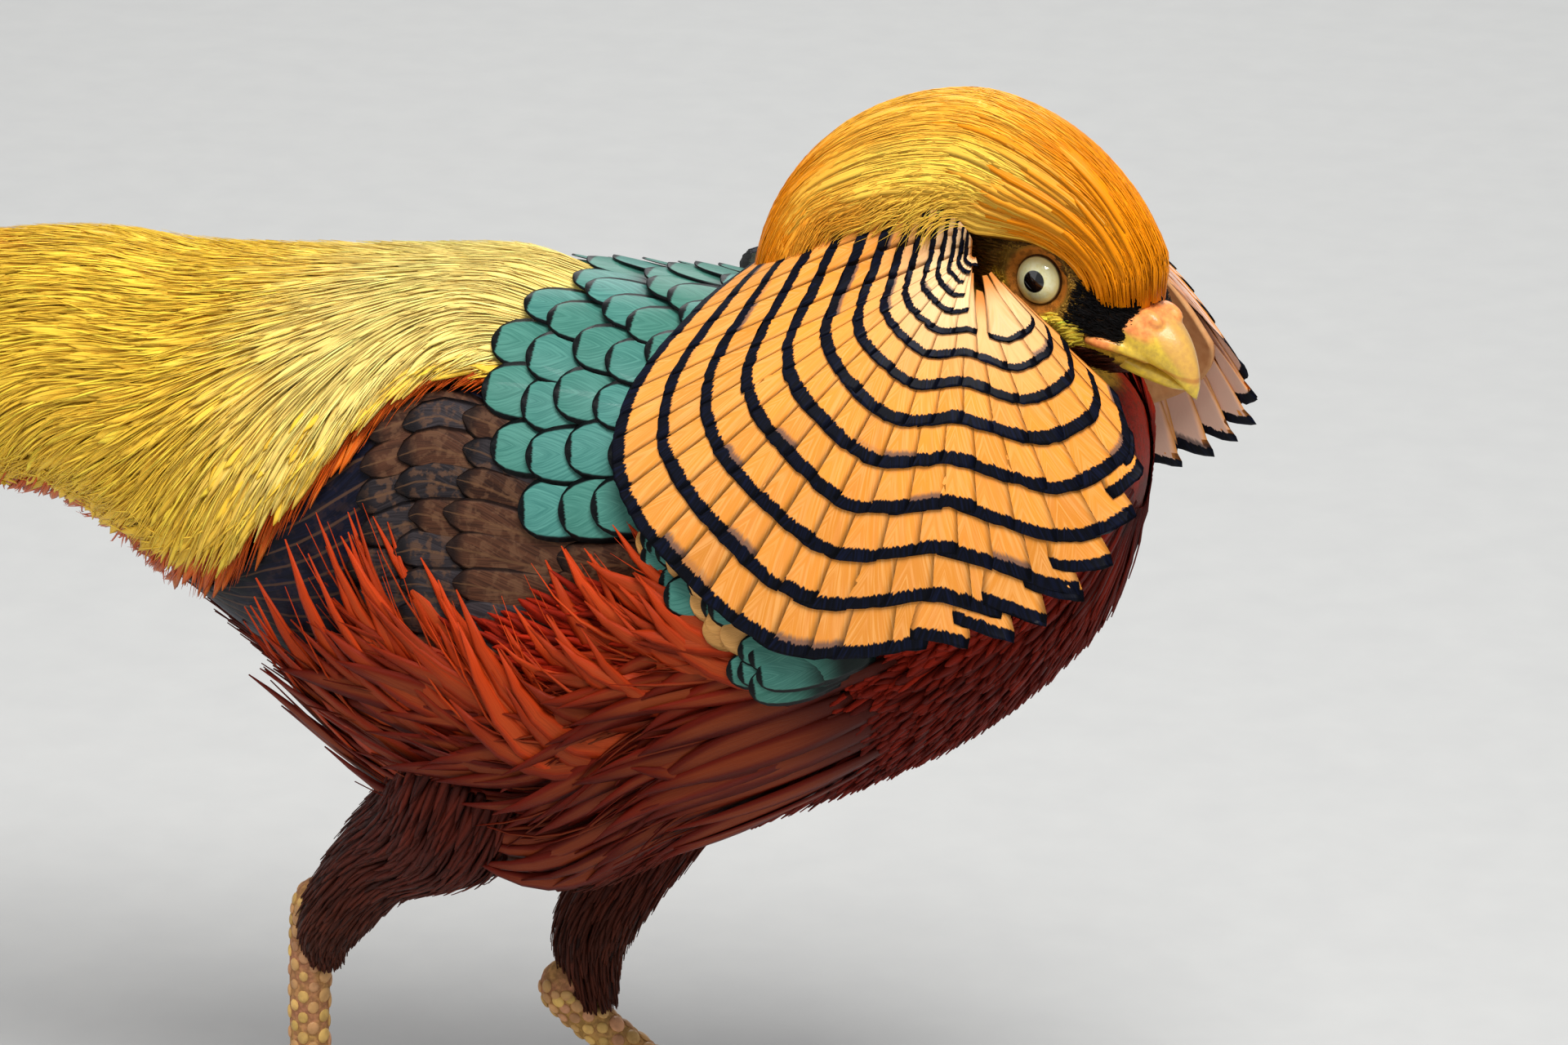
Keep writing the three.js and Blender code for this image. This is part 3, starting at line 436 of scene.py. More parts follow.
def blades(name, surface, a, b, height, half, along, columns=5, thick=0.25, camber=0.15, colour=None,
           ragged=0.0, bow=0.0, roll=0.0, fan=None, rng=None):
    """Feathers on a surface. a, b and height are (root, tip), or (root, tip, power, flip) as in strokes.

    thick is how far the middle stands over the edges and camber how far the edges droop, ragged
    pushes the tips' corners about, bow rounds the tip, roll lifts one edge. With fan, the half width
    as a step of b, every cross row bends with the surface, and roll is in mm.
    """
    a, b, height = (
        strokes(*v[:2], along, *v[2:]) if isinstance(v, tuple) else v for v in (a, b, height)
    )
    a, b, height, half = np.broadcast_arrays(a, b, height, half)
    count, steps = a.shape
    middle = surface(a, b, height)
    out = unit(surface(a, b, height + 1) - middle)
    run = unit(np.gradient(middle, axis=1))
    side = unit(np.cross(out, run))
    out = np.cross(run, side)
    x = np.linspace(-1, 1, columns)
    arch = thick * (1 - x**2) - camber * half[:, :, None] * x**2
    if fan is not None:
        # The under side bends along too, or it would show where the surface is hollow.
        x = np.concatenate([x, x[-2:0:-1]])
        arch = thick * (1 - x**2) - UNDER * (np.arange(len(x)) >= columns)
        columns = len(x)
        ring_way = surface(a, b + 0.002, height) - surface(a, b - 0.002, height)
        turn = np.sign((ring_way * side).sum((-1, -2)))[:, None, None]
        reach = turn * fan[:, None, None] * (half / half.max(1, keepdims=True))[:, :, None] * x
        lift = height[:, :, None] + arch + roll * x
        points = surface(np.broadcast_to(a[:, :, None], reach.shape), b[:, :, None] + reach, lift)
    else:
        side = unit(side + out * np.reshape(roll, (-1, 1, 1)))
        across = side[:, :, None] * (half[:, :, None] * x)[..., None]
        points = middle[:, :, None] + across + out[:, :, None] * arch[..., None]
    if bow:
        push = bow * half[:, -1:, None] * (1 - x**2) * along[:, None] ** 4
        points = points + run[:, :, None] * push[..., None]
    if ragged:
        push = rng.uniform(-ragged, ragged, (count, 1, columns)) * along[:, None] ** 6
        points = points + run[:, :, None] * push[..., None]
    ring = np.arange(columns)
    base = (np.arange(count)[:, None, None] * steps + np.arange(steps - 1)[:, None]) * columns
    here, there = base + ring, base + np.roll(ring, -1)
    sides = np.stack([here, here + columns, there + columns, there], -1).reshape(-1, 4)
    first = np.arange(count)[:, None] * steps * columns
    tip = first + (steps - 1) * columns + ring[::-1]
    made, corners = new_mesh(name, points.reshape(-1, 3), [sides, first + ring, tip])
    vane = np.empty((count, steps, columns, 2))
    vane[..., 0] = (x + 1) / 2
    vane[..., 1] = along[:, None]
    patch = unwrap(middle[:, 0])[:, None, None] + (vane - 0.5) * PATCH
    add_uv(made.data, "OFBake", patch.reshape(-1, 2)[corners])
    add_uv(made.data, "vane", vane.reshape(-1, 2)[corners])
    per = steps * columns
    if colour is None:
        colour = np.ones((count, 3))
    add_colour(made.data, "tint", np.repeat(colour, per, axis=0))
    add_number(made.data, "luck", np.repeat(rng.random(count), per))
    return made

# %% A sheet of down under the feathers
def sheet(name, surface, columns, rows, low, high, place):
    """A closed plate between two heights over a surface."""
    u, v = np.meshgrid(np.linspace(0, 1, columns + 1), np.linspace(0, 1, rows + 1))
    a, b = place(u, v)
    top, under = surface(a, b, high), surface(a, b, low)
    points = np.concatenate([top.reshape(-1, 3), under.reshape(-1, 3)])
    grid = np.arange((columns + 1) * (rows + 1)).reshape(rows + 1, columns + 1)
    faces = np.stack([grid[:-1, :-1], grid[:-1, 1:], grid[1:, 1:], grid[1:, :-1]], -1).reshape(-1, 4)
    edge = np.concatenate([grid[0, :], grid[1:, -1], grid[-1, -2::-1], grid[-2:0:-1, 0]])
    ahead = np.roll(edge, -1)
    under_by = grid.size
    walls = np.stack([ahead, edge, edge + under_by, ahead + under_by], -1)
    groups = facing_out(points, [faces, faces[:, ::-1] + under_by, walls])
    made, corners = new_mesh(name, points, groups)
    add_uv(made.data, "OFBake", unwrap(points)[corners])
    return made

# %% [markdown]
# ## Finishes
# A feather gets its look from pigment and from barbs, the fine branches that leave the shaft at a slant.
# A picture of them blurs close up. Here they are noise drawn out along a mix of the across and the
# along coordinate, so they stay sharp, follow each feather, and differ by its number of luck.

# %% Colours, and a material under construction
def srgb(r, g, b):
    """An everyday 0-255 colour as Blender's linear values."""
    values = np.array([r, g, b]) / 255
    return np.where(values <= 0.04045, values / 12.92, ((values + 0.055) / 1.055) ** 2.4)


class Finish:
    """A material under construction."""

    def __init__(self, name, roughness=0.5, coat=0.0, specular=0.1):
        self.material = bpy.data.materials.new(name)
        self.material.use_nodes = True
        self.tree = self.material.node_tree
        self.shader = self.tree.nodes["Principled BSDF"]
        self.set(self.shader, "Roughness", roughness)
        self.set(self.shader, "Coat Weight", coat)
        self.set(self.shader, "Specular IOR Level", specular)

    def set(self, node, socket, value):
        target = node.inputs[socket]
        if isinstance(value, bpy.types.NodeSocket):
            self.tree.links.new(value, target)
        elif hasattr(target.default_value, "__len__"):
            value = list(np.ravel(value))
            target.default_value = (value + [1.0])[: len(target.default_value)]
        else:
            target.default_value = value

    def node(self, kind, inputs=(), **settings):
        made = self.tree.nodes.new("ShaderNode" + kind)
        for key, value in settings.items():
            setattr(made, key, value)
        for socket, value in dict(inputs).items():
            self.set(made, socket, value)
        return made

    def maths(self, operation, *values):
        return self.node("Math", enumerate(values), operation=operation).outputs[0]

    def times(self, first, second):
        return self.maths("MULTIPLY", first, second)

    def vector(self, *values):
        return self.node("CombineXYZ", enumerate(values)).outputs[0]

    def dot(self, offset, way):
        return self.node("VectorMath", {0: offset, 1: way}, operation="DOT_PRODUCT").outputs["Value"]

    def offset_from(self, place):
        """The way from a place of the bird to the point that is being coloured."""
        here = self.node("TexCoord").outputs["Object"]
        return self.node("VectorMath", {0: here, 1: metres(place)}, operation="SUBTRACT").outputs[0]

    def mix(self, factor, first, second, blend="MIX"):
        made = self.node("Mix", data_type="RGBA", blend_type=blend)
        for key, value in ((0, factor), (6, first), (7, second)):
            self.set(made, key, value)
        return made.outputs[2]

    def ramp(self, value, low, high):
        """0 below low and 1 above high, smooth between."""
        made = self.node("MapRange", {0: value, 1: low, 2: high}, interpolation_type="SMOOTHSTEP")
        return made.outputs[0]

    def fall(self, value, low, high):
        """1 below low and 0 above high."""
        return self.maths("SUBTRACT", 1.0, self.ramp(value, low, high))

    def attribute(self, name, output="Fac"):
        return self.node("Attribute", attribute_name=name).outputs[output]

    def tint(self):
        return self.attribute("tint", "Color")

    def vane(self):
        """Across (0 at the shaft, 1 at either edge) and along the feather."""
        uv = self.node("UVMap", uv_map="vane").outputs[0]
        parts = self.node("SeparateXYZ", {0: uv})
        from_shaft = self.maths("ABSOLUTE", self.maths("SUBTRACT", parts.outputs[0], 0.5))
        return self.times(from_shaft, 2.0), parts.outputs[1]

    def noise(self, scale, detail=3.0, vector=None):
        if vector is None:
            vector = self.node("TexCoord").outputs["Object"]
        inputs = {"Vector": vector, "Scale": scale, "Detail": detail, "Roughness": 0.55}
        return self.node("TexNoise", inputs).outputs["Fac"]

    def barbs(self, across, along, slant, lines, luck):
        """Fine noise drawn out along the barbs of a feather."""
        slanted = self.maths("SUBTRACT", along, self.times(across, slant))
        place = self.vector(self.times(slanted, lines), self.times(across, 1.5), self.times(luck, 50.0))
        return self.noise(1.0, 2.0, place)

    def bump(self, height, strength, distance):
        made = self.node("Bump", {"Height": height, "Strength": strength, "Distance": distance})
        self.set(self.shader, "Normal", made.outputs[0])

    def colour(self, value):
        self.set(self.shader, "Base Color", value)
        return self.material


print("pure red is", srgb(255, 0, 0))

# %% Plain feathers, and plain down
def plume_finish(name, slant=0.2, lines=26.0, depth=0.35, roughness=0.45, shaft=0.0, root=0.25):
    """A plain feather in its own tint, darker at the root, with barb lines and a shaft."""
    made = Finish(name, roughness)
    across, along = made.vane()
    luck = made.attribute("luck")
    barb = made.barbs(across, along, slant, lines, luck)
    shade = made.maths("MULTIPLY_ADD", made.ramp(barb, 0.3, 0.7), depth, 1 - depth / 2)
    rise = made.maths("MULTIPLY_ADD", made.ramp(along, 0.0, 0.6), 1 - root, root)
    bright = made.times(shade, rise)
    bright = made.times(bright, made.maths("MULTIPLY_ADD", luck, 0.3, 0.85))
    # The dark between barbs stays warm: green and blue fall faster than red.
    warm = {0: made.maths("POWER", bright, 0.8), 1: bright, 2: made.maths("POWER", bright, 1.4)}
    grey = made.node("CombineColor", warm).outputs[0]
    colour = made.mix(1.0, made.tint(), grey, "MULTIPLY")
    if shaft:
        line = made.times(made.fall(across, 0.02, shaft), 0.7)
        colour = made.mix(line, colour, srgb(178, 122, 70))
    made.bump(barb, 0.5, 0.0002)
    return made.colour(colour)


def down_finish(name, dark, light, scale=500):
    """Soft down: two shades, mottled."""
    made = Finish(name, 0.6)
    return made.colour(made.mix(made.noise(scale, 3.0), dark, light))

# %% [markdown]
# ## Colours of the coat
# The bird is scarlet below, golden behind, green over the shoulders and brown on the wing. The colours
# could be painted on the mesh by hand. Here one function gives the colour at any place, and both the
# skin and the feathers take it, so a gap between two feathers shows the same colour, only darker. Under
# the rump and the mantle the skin's colour is darkened too: painted shade in the gaps.

# %% Colours by place
SCARLET = srgb(146, 27, 2)
# Painted shade: a darker red for the underside and the lower flank, where the light from above doesn't reach.
SHADED_RED = srgb(86, 14, 2)
RUST = srgb(104, 40, 16)
MAROON = srgb(76, 22, 10)
BELLY_BROWN = srgb(70, 30, 18)
GOLD = srgb(255, 206, 66)
PALE_GOLD = srgb(255, 226, 130)
FRINGE_ORANGE = srgb(214, 84, 20)
SHOULDER_GREEN = srgb(66, 128, 112)
WING_BROWN = srgb(84, 52, 36)
QUILL_BLUE = srgb(16, 18, 34)
CAPE_ORANGE = srgb(238, 148, 52)
CREST_ORANGE = srgb(238, 140, 8)
CREST_GOLD = srgb(252, 202, 76)
FACE_OLIVE = srgb(150, 112, 42)
FACE_YELLOW = srgb(226, 176, 52)
FACE_DARK = srgb(44, 30, 20)


def mixed(first, second, share):
    return first + (second - first) * np.asarray(share)[..., None]


def varied(colour, rng, spread, count=None):
    """A little lighter or darker from feather to feather."""
    lightness = 1 + rng.normal(0, spread, (count or len(colour), 1))
    return np.clip(colour * lightness, 0, 1)


def belly_colour(x, turn):
    """The underside: scarlet breast, darker red lower down as painted shade, browner to the rear and between
    the legs.
    """
    turn = np.abs(turn)
    # Painted shade: the red darkens towards the underside.
    colour = mixed(SCARLET, SHADED_RED, 0.85 * smooth(turn, 92, 125))
    colour = mixed(colour, MAROON, smooth(-x, 10, 95))
    low = smooth(turn, 135, 175) * smooth(-x, -30, 40)
    return mixed(colour, BELLY_BROWN, low)


def body_place(points):
    """x and turn of any point of the trunk."""
    x = points[:, 0]
    rows = np.array(TRUNK)
    middle = np.interp(-x, -rows[:, 0], rows[:, 1])
    return x, np.degrees(np.arctan2(-points[:, 1], points[:, 2] - middle))


print("scarlet", SCARLET.round(3))

# %% Colours of the face, by the distance from the eye's line of sight
EYE_SEAT = np.array([-1.1, 6.4, -1.0])  # forward, left and up of the left eye's middle
EYE_LOOK = unit(np.array([0.22, 0.95, 0.16]))  # ahead, out to the side, up


def head_parts_of(points):
    """The place of points in the head's own frame: forward, leftward and upward."""
    local = points - HEAD
    return np.stack([local @ forward, local @ leftward, local @ upward], -1)


def from_eye(local, side):
    """How far out along the eye's line of sight a place lies, and how far off that line."""
    look = EYE_LOOK * [1, side, 1]
    offset = local - EYE_SEAT * [1, side, 1]
    out = offset @ look
    return out, np.sqrt(np.maximum(0, (offset**2).sum(-1) - out**2))


def face_colour(points):
    """Olive-yellow bare skin, an orange rim round the eye, black lores, dark chin."""
    local = head_parts_of(points)
    f, u = local[:, 0], local[:, 2]
    right_side = local[:, 1] < 0
    off = np.where(right_side, from_eye(local, RIGHT)[1], from_eye(local, LEFT)[1])
    colour = mixed(FACE_OLIVE, FACE_YELLOW, smooth(-u - 0.2 * f, 2.5, 5))
    colour = mixed(colour, FACE_DARK, 0.9 * smooth(u, 5.5, 7.5))
    lore = smooth(f, 10, 12) * smooth(u, -6.0, -5.0)
    colour = mixed(colour, FACE_DARK * 0.25, lore)
    colour = mixed(colour, RUST * 0.35, smooth(-u, 8, 10) * smooth(f, 8, 12))
    rim = smooth(off, 4.6, 5.2) * (1 - smooth(off, 6.2, 7.4))
    colour = mixed(colour, srgb(204, 124, 44), rim)
    return mixed(colour, srgb(48, 26, 12), (1 - smooth(off, 4.7, 5.3)) * (off < 6))


def skin_colour(points):
    x, turn = body_place(points)
    colour = belly_colour(x, turn)
    # Painted shade: under the rump and the mantle the skin takes the feathers' colour, darkened for the gaps
    # between them.
    rump = smooth(-x, 45, 52) * (1 - smooth(np.abs(turn), 60, 80))
    colour = mixed(colour, GOLD * 0.6, rump)
    shoulder = (1 - smooth(-x, 45, 50)) * (1 - smooth(np.abs(turn), 60, 66)) * smooth(-x, -20, -5)
    colour = mixed(colour, SHOULDER_GREEN * 0.4, shoulder)
    in_head = 1 - smooth(np.linalg.norm(points - HEAD, axis=1), 26, 31)
    leg = smooth(-points[:, 2], -112, -92)
    colour = mixed(colour, MAROON, leg)
    return mixed(colour, face_colour(points), in_head)


print("skin at the breast", skin_colour(on_trunk([70.0], [90.0])).round(3)[0])

# %% [markdown]
# ## Limbs
# Neck, thighs, shanks and toes are round forms along a bent line. A curve with a round bevel would do
# for the look, but feathers have to be laid on these forms too. So one helper gives the surface round
# the line, and a second one closes rings of such a surface at both ends into a solid form.

# %% A round limb along a path
def limb_surface(path, radii, level):
    """u runs from 0 to 1 along the path, turn is in degrees and counted from the direction level."""
    at, _ = through(path)
    radii_at, _ = through([[i, r] for i, r in enumerate(radii)])
    level = np.array(level, float)

    def point(u, turn, height=0.0):
        u, turn, height = np.broadcast_arrays(np.asarray(u, float), turn, height)
        place = np.clip(u, 0, 1) * (len(path) - 1)
        run = unit(at(place + 0.02) - at(place - 0.02) + 1e-9)
        across = unit(np.cross(run, level))
        beside = np.cross(across, run)
        radius = radii_at(np.clip(u, 0, 1) * (len(radii) - 1))[..., 1] + height
        turn = np.radians(turn)[..., None]
        return at(place) + (across * np.sin(turn) + beside * np.cos(turn)) * radius[..., None]

    return point


def round_rings(surface, rows, sides, height=0.0, last=1.0):
    """Rings of points on a limb, from its start to the share last."""
    u = np.linspace(0, last, rows)[:, None]
    turn = np.linspace(0, 360, sides, endpoint=False)[None]
    return surface(u, turn, height)


def circle(sides):
    return np.linspace(0, 2 * math.pi, sides, endpoint=False)


def ball_angles(rows, sides, margin=0.03):
    """Angles down from the pole and round it, for the rings of a ball."""
    rise = np.linspace(margin, math.pi - margin, rows)[:, None]
    return np.broadcast_arrays(rise, circle(sides)[None])


print("a ball of 16 rings starts at", ball_angles(16, 32)[0][0, 0], "radians from its pole")

# %% Closing rings into a form
def loft(name, rings):
    """Closed form from (rows, sides, 3) rings; the two end rings are drawn to their middles."""
    rows, sides, _ = rings.shape
    points = np.concatenate([rings.reshape(-1, 3), rings[[0, -1]].mean(1)])
    ring = np.arange(sides)
    start = np.arange(rows - 1)[:, None] * sides
    here, there = start + ring, start + np.roll(ring, -1)
    walls = np.stack([here, there, there + sides, here + sides], -1).reshape(-1, 4)
    foot, top = rows * sides, rows * sides + 1
    last = (rows - 1) * sides
    caps = np.concatenate([
        np.stack([np.roll(ring, -1), ring, np.full(sides, foot)], -1),
        np.stack([ring + last, np.roll(ring, -1) + last, np.full(sides, top)], -1),
    ])
    made, _ = new_mesh(name, points, facing_out(points, [walls, caps]))
    return made

# %% Neck and legs, in millimetres
NECK_PATH = [[28, 0, 190], [35, -2.5, 206], [42, -5, 221]]
NECK_GIRTH = [27, 22.5, 17]
# Each thigh lies ahead of its heel. aim is how far the toes point outwards, in degrees.
LEGS = {
    "right": {
        "heel": [-101, -19, 80], "foot": [-97, -20], "aim": 4,
        "thigh": [[-54, -32, 122], [-62, -30, 106], [-80, -25, 91], [-93, -21, 73.5], [-95, -19.5, 63]],
        "girth": [18, 16.5, 10, 7, 3.4],
    },
    "left": {
        "heel": [-57, 18, 51], "foot": [-6, 25], "aim": 9,
        "thigh": [[-20, 28, 108], [-28.4, 28, 93.8], [-40.8, 23.5, 74], [-48.4, 20, 57.5], [-46.5, 18.5, 41]],
        "girth": [17, 13, 10, 8.2, 3.6],
    },
}
on_neck = limb_surface(NECK_PATH, NECK_GIRTH, (1, 0, 0))
on_thigh = {name: limb_surface(leg["thigh"], leg["girth"], (1, 0, 0)) for name, leg in LEGS.items()}
print("heel girth", round(float(np.ptp(on_thigh["right"](0.75, [0, 180])[:, 0])), 1))

# %% [markdown]
# ## The skin
# One closed skin stands for torso, neck, head and thighs. Sculpted from one lump it wouldn't follow the
# solids. So lofts of the same sections are joined and remeshed in small cubes, which leaves one clean
# surface and rounds the places where they meet. Under the feathers coarse cubes will do. The head shows
# bare, so it gets much finer ones and is joined on at the end.

# %% From modifiers to a plain mesh
def baked(made):
    """Turns an object's modifiers into its plain mesh."""
    graph = bpy.context.evaluated_depsgraph_get()
    mesh = bpy.data.meshes.new_from_object(made.evaluated_get(graph))
    made.modifiers.clear()
    old = made.data
    made.data = mesh
    bpy.data.meshes.remove(old)
    return made


def remeshed(pieces, name, voxel, smooth_times):
    """Joins pieces that run into each other into one closed skin; voxel is in mm."""
    bpy.ops.object.select_all(action="DESELECT")
    for piece in pieces:
        piece.select_set(True)
    bpy.context.view_layer.objects.active = pieces[0]
    bpy.ops.object.join()
    joined = bpy.context.view_layer.objects.active
    joined.name = name
    steps = joined.modifiers.new("one skin", "REMESH")
    steps.mode = "VOXEL"
    steps.voxel_size = voxel / 1000
    soft = joined.modifiers.new("soft", "SMOOTH")
    soft.iterations = smooth_times
    soft.factor = 0.5
    return baked(joined)

# %% Skin of torso, neck and thighs
COAT_DEPTH = 3.0  # mm, how far the torso's skin lies inside the solids
NECK_DEPTH = 2.0
THIGH_DEPTH = 1.6
steps = np.linspace(0.15, len(TRUNK) - 1.4, 90)[:, None]
trunk_rings = trunk_point(steps, circle(72)[None], -COAT_DEPTH)
body_parts = [loft("torso_loft", trunk_rings)]
body_parts.append(loft("neck_loft", round_rings(on_neck, 20, 40, -NECK_DEPTH)))
for name in LEGS:
    rings = round_rings(on_thigh[name], 40, 32, -THIGH_DEPTH, 0.97)
    body_parts.append(loft("thigh_loft_" + name, rings))
body_skin = remeshed(body_parts, "skin", 2.4, 5)
print("body skin", len(body_skin.data.vertices), "points")

# %% [markdown]
# The face is what a visitor looks at first. The skull narrows to the lores, the bare strip before the
# eye. The eyes lie in shallow hollows: every point there is pushed back along the eye's line of sight
# onto a wide ball. Two rims of skin stand round each eye, and a small fold hangs below.

# %% Skull with its two hollows
EYE_RADIUS = 6.4
DISH_RADIUS = 10.5  # the hollow is part of a ball of this size
DISH_OUT = 13.1  # from the eye's middle out to the middle of that ball
MOUTH = -6.4  # the mouth's line, up from the head's middle
MOUTH_DEPTH = 0.9


def carved(local, side):
    """Presses the hollow round one eye into the skull."""
    out, off = from_eye(local, side)
    inside = DISH_OUT - np.sqrt(np.maximum(0.1, DISH_RADIUS**2 - np.minimum(off, DISH_RADIUS) ** 2))
    excess = np.where(off < DISH_RADIUS - 0.2, np.maximum(0, out - inside), 0)
    return local - (excess * (local[..., 1] * side > 0))[..., None] * (EYE_LOOK * [1, side, 1])


def skull_local(steps, turn, height=0.0):
    """A place on the skull by row of its table and turn, in the head's own frame."""
    at, _ = through(SKULL)
    steps, turn, height = np.broadcast_arrays(steps, turn, height)
    row = at(steps)
    l = (row[..., 3] + height) * np.sin(turn)
    u = row[..., 1] + (row[..., 2] + height) * np.cos(turn)
    return np.stack([row[..., 0], l, u], -1)


def skull_rings(rows, sides):
    steps = np.linspace(0.03, len(SKULL) - 1.03, rows)[:, None]
    local = skull_local(steps, circle(sides)[None])
    for side in SIDES.values():
        local = carved(local, side)
    f, l, u = np.moveaxis(local, -1, 0)
    gape = np.exp(-(((u - MOUTH + 0.12 * (f - 10)) / 0.6) ** 2)) * smooth(f, 8, 12)
    return head_point(f, np.sign(l) * (np.abs(l) - MOUTH_DEPTH * gape), u)


head_forms = [loft("skull", skull_rings(140, 140))]
print("skull", len(head_forms[0].data.vertices), "points")

# %% Rims of skin round the eyes
LID_RADIUS = 6.0
LID_OUT = 3.3  # from the eye's middle to the plane of the lids
FOLD_RADIUS = 7.8
RIM_STEPS = 96
RIM_SIDES = 14


def eye_point(side, ahead, above, out):
    """A place by the eye: ahead and above across its line of sight, out along it."""
    look = EYE_LOOK * [1, side, 1]
    front = unit(np.array([1.0, 0, 0]) - look[0] * look)
    top = np.cross(look, front) * side
    top = top * np.sign(top[2])
    ahead, above, out = np.broadcast_arrays(ahead, above, out)
    local = EYE_SEAT * [1, side, 1] + ahead[..., None] * front + above[..., None] * top
    local = local + out[..., None] * look
    return head_point(*np.moveaxis(local, -1, 0))


def rim_form(side, radius, tube, out, corner):
    """A ring of skin, drawn out by corner at its front and rear, where it also lies closer."""
    turn = circle(RIM_STEPS)[:, None]
    round_ = circle(RIM_SIDES)[None]
    reach = radius + corner * np.abs(np.cos(turn)) ** 6 + tube * np.cos(round_)
    droop = 0.35 * np.abs(np.cos(turn)) ** 2
    above = 0.96 * reach * np.sin(turn)
    points = eye_point(side, reach * np.cos(turn), above, out - droop + tube * np.sin(round_))
    points = points.reshape(-1, 3)
    grid = np.arange(RIM_STEPS * RIM_SIDES).reshape(RIM_STEPS, RIM_SIDES)
    ahead, beside = np.roll(grid, -1, 0), np.roll(grid, -1, 1)
    faces = np.stack([grid, ahead, np.roll(ahead, -1, 1), beside], -1).reshape(-1, 4)
    made, _ = new_mesh("rim", points, facing_out(points, [faces]))
    return made


for side in SIDES.values():
    head_forms.append(rim_form(side, LID_RADIUS, 0.75, LID_OUT, 0.7))
    head_forms.append(rim_form(side, FOLD_RADIUS, 0.6, LID_OUT - 0.6, 1.0))
print("forms of the head so far", len(head_forms))

# %% The folds below the eyes, and the head joined to the body
CHEEK_FOLD = (3, 10, -8.6)  # forward, out to the side, up
CHEEK_FOLD_SIZE = (5.2, 2.3, 2.3)


def lump(f, l, u, sizes):
    """A rounded swelling at a place of the head."""
    rise, turn = ball_angles(16, 32)
    return loft("lump", head_point(
        f + sizes[0] * np.cos(rise), l + sizes[1] * np.sin(rise) * np.cos(turn),
        u + sizes[2] * np.sin(rise) * np.sin(turn),
    ))


for side in SIDES.values():
    f, l, u = CHEEK_FOLD
    head_forms.append(lump(f, side * l, u, CHEEK_FOLD_SIZE))
head_skin = remeshed(head_forms, "head_skin", 0.44, 2)
union = body_skin.modifiers.new("head", "BOOLEAN")
union.operation = "UNION"
union.solver = "MANIFOLD"
union.object = head_skin
skin = baked(body_skin)
bpy.data.objects.remove(head_skin)
print("whole skin", len(skin.data.vertices), "points")

# %% [markdown]
# Nobody sees the skin under the feathers, but its colour shows through every gap. So each vertex takes
# the colour of its place, and one finish adds grain. The same finish serves the beads round the eyes.

# %% Finish of the skin
def skin_finish():
    made = Finish("bare skin and down", 0.55)
    grain = made.noise(700, 4.0)
    fine = made.noise(2600, 2.0)
    dark = made.mix(made.ramp(grain, 0.45, 0.62), made.tint(), srgb(58, 36, 16))
    colour = made.mix(0.45, made.tint(), dark)
    made.bump(made.maths("ADD", grain, fine), 0.5, 0.0004)
    return made.colour(colour)


skin_material = skin_finish()
add_colour(skin.data, "tint", skin_colour(wrapped(skin)))
finish_piece(skin, skin_material, "face_skin", "torso", "neck", "head", "thigh_right", "thigh_left")

# %% [markdown]
# ## The eyes
# A pale cream iris round a black pupil, under a clear, glossy cornea. A clear shell over a painted ball
# is the usual way. A museum maker uses one glass eye, and so does this: a ball that swells a little in
# front, with a clear coat. The rings are drawn by distance from the eye's line of sight.

# %% Finish of the eyes
PUPIL = 2.2
IRIS = 4.7
EYE_DARK = srgb(30, 22, 16)


def eye_finish(side):
    made = Finish("eye", 0.04, coat=1.0, specular=0.5)
    middle = eye_point(side, 0.0, 0.0, 0.0)
    offset = made.offset_from(middle)
    along = made.dot(offset, unit(eye_point(side, 0.0, 0.0, 1.0) - middle))
    length = made.node("VectorMath", {0: offset}, operation="LENGTH").outputs["Value"]
    squared = made.maths("SUBTRACT", made.times(length, length), made.times(along, along))
    away = made.times(made.maths("SQRT", made.maths("MAXIMUM", squared, 0.0)), 1000.0)
    fibres = made.noise(1500, 3.0)
    iris = made.mix(made.ramp(fibres, 0.35, 0.7), srgb(255, 254, 206), srgb(246, 240, 170))
    iris = made.mix(made.ramp(away, 3.1, IRIS), iris, srgb(248, 238, 164))
    iris = made.mix(made.ramp(away, IRIS - 0.25, IRIS + 0.1), iris, EYE_DARK)
    colour = made.mix(made.ramp(away, PUPIL - 0.08, PUPIL + 0.12), srgb(6, 6, 8), iris)
    return made.colour(made.mix(made.ramp(along, 0.0, 0.001), EYE_DARK, colour))


print("iris", 2 * IRIS, "mm, pupil", 2 * PUPIL, "mm")

# %% Eyes
CORNEA = 0.25  # mm, how far the cornea stands proud
for name, side in SIDES.items():
    rise, turn = ball_angles(48, 64, 0.02)
    swell = EYE_RADIUS + CORNEA * np.exp(-((rise / 0.55) ** 2))
    eye = loft("eyeball_" + name, eye_point(
        side, swell * np.sin(rise) * np.cos(turn), swell * np.sin(rise) * np.sin(turn),
        swell * np.cos(rise),
    ))
    wrapped(eye)
    finish_piece(eye, eye_finish(side), "eye", "eye_" + name)

# %% [markdown]
# ## The bill
# The upper half is an arched hook, the lower one a shallow trough. A table of sections is quicker to
# correct against the photograph than a mesh made face by face. Both halves share one rule: arched away
# from the mouth, nearly flat towards it. Soft orange skin covers the base with the nostrils. It is
# remeshed together with the upper half, so there is no seam between skin and horn.

# %% Sections of the bill: forward, up, half height, half width
UPPER_BILL = [
    [13, -2.9, 5, 7.2], [20, -1.7, 5.4, 7.0], [26, -2.5, 4.7, 5.4], [31, -4.2, 3.6, 3.5],
    [35, -7.4, 2.2, 1.6], [36.6, -10.4, 0, 0],
]
LOWER_BILL = [
    [13, -9.6, 2.4, 6], [20, -9.6, 2.3, 5.4], [26, -9.4, 2, 4], [31, -9.2, 1.3, 2.4], [33.6, -9.4, 0, 0],
]
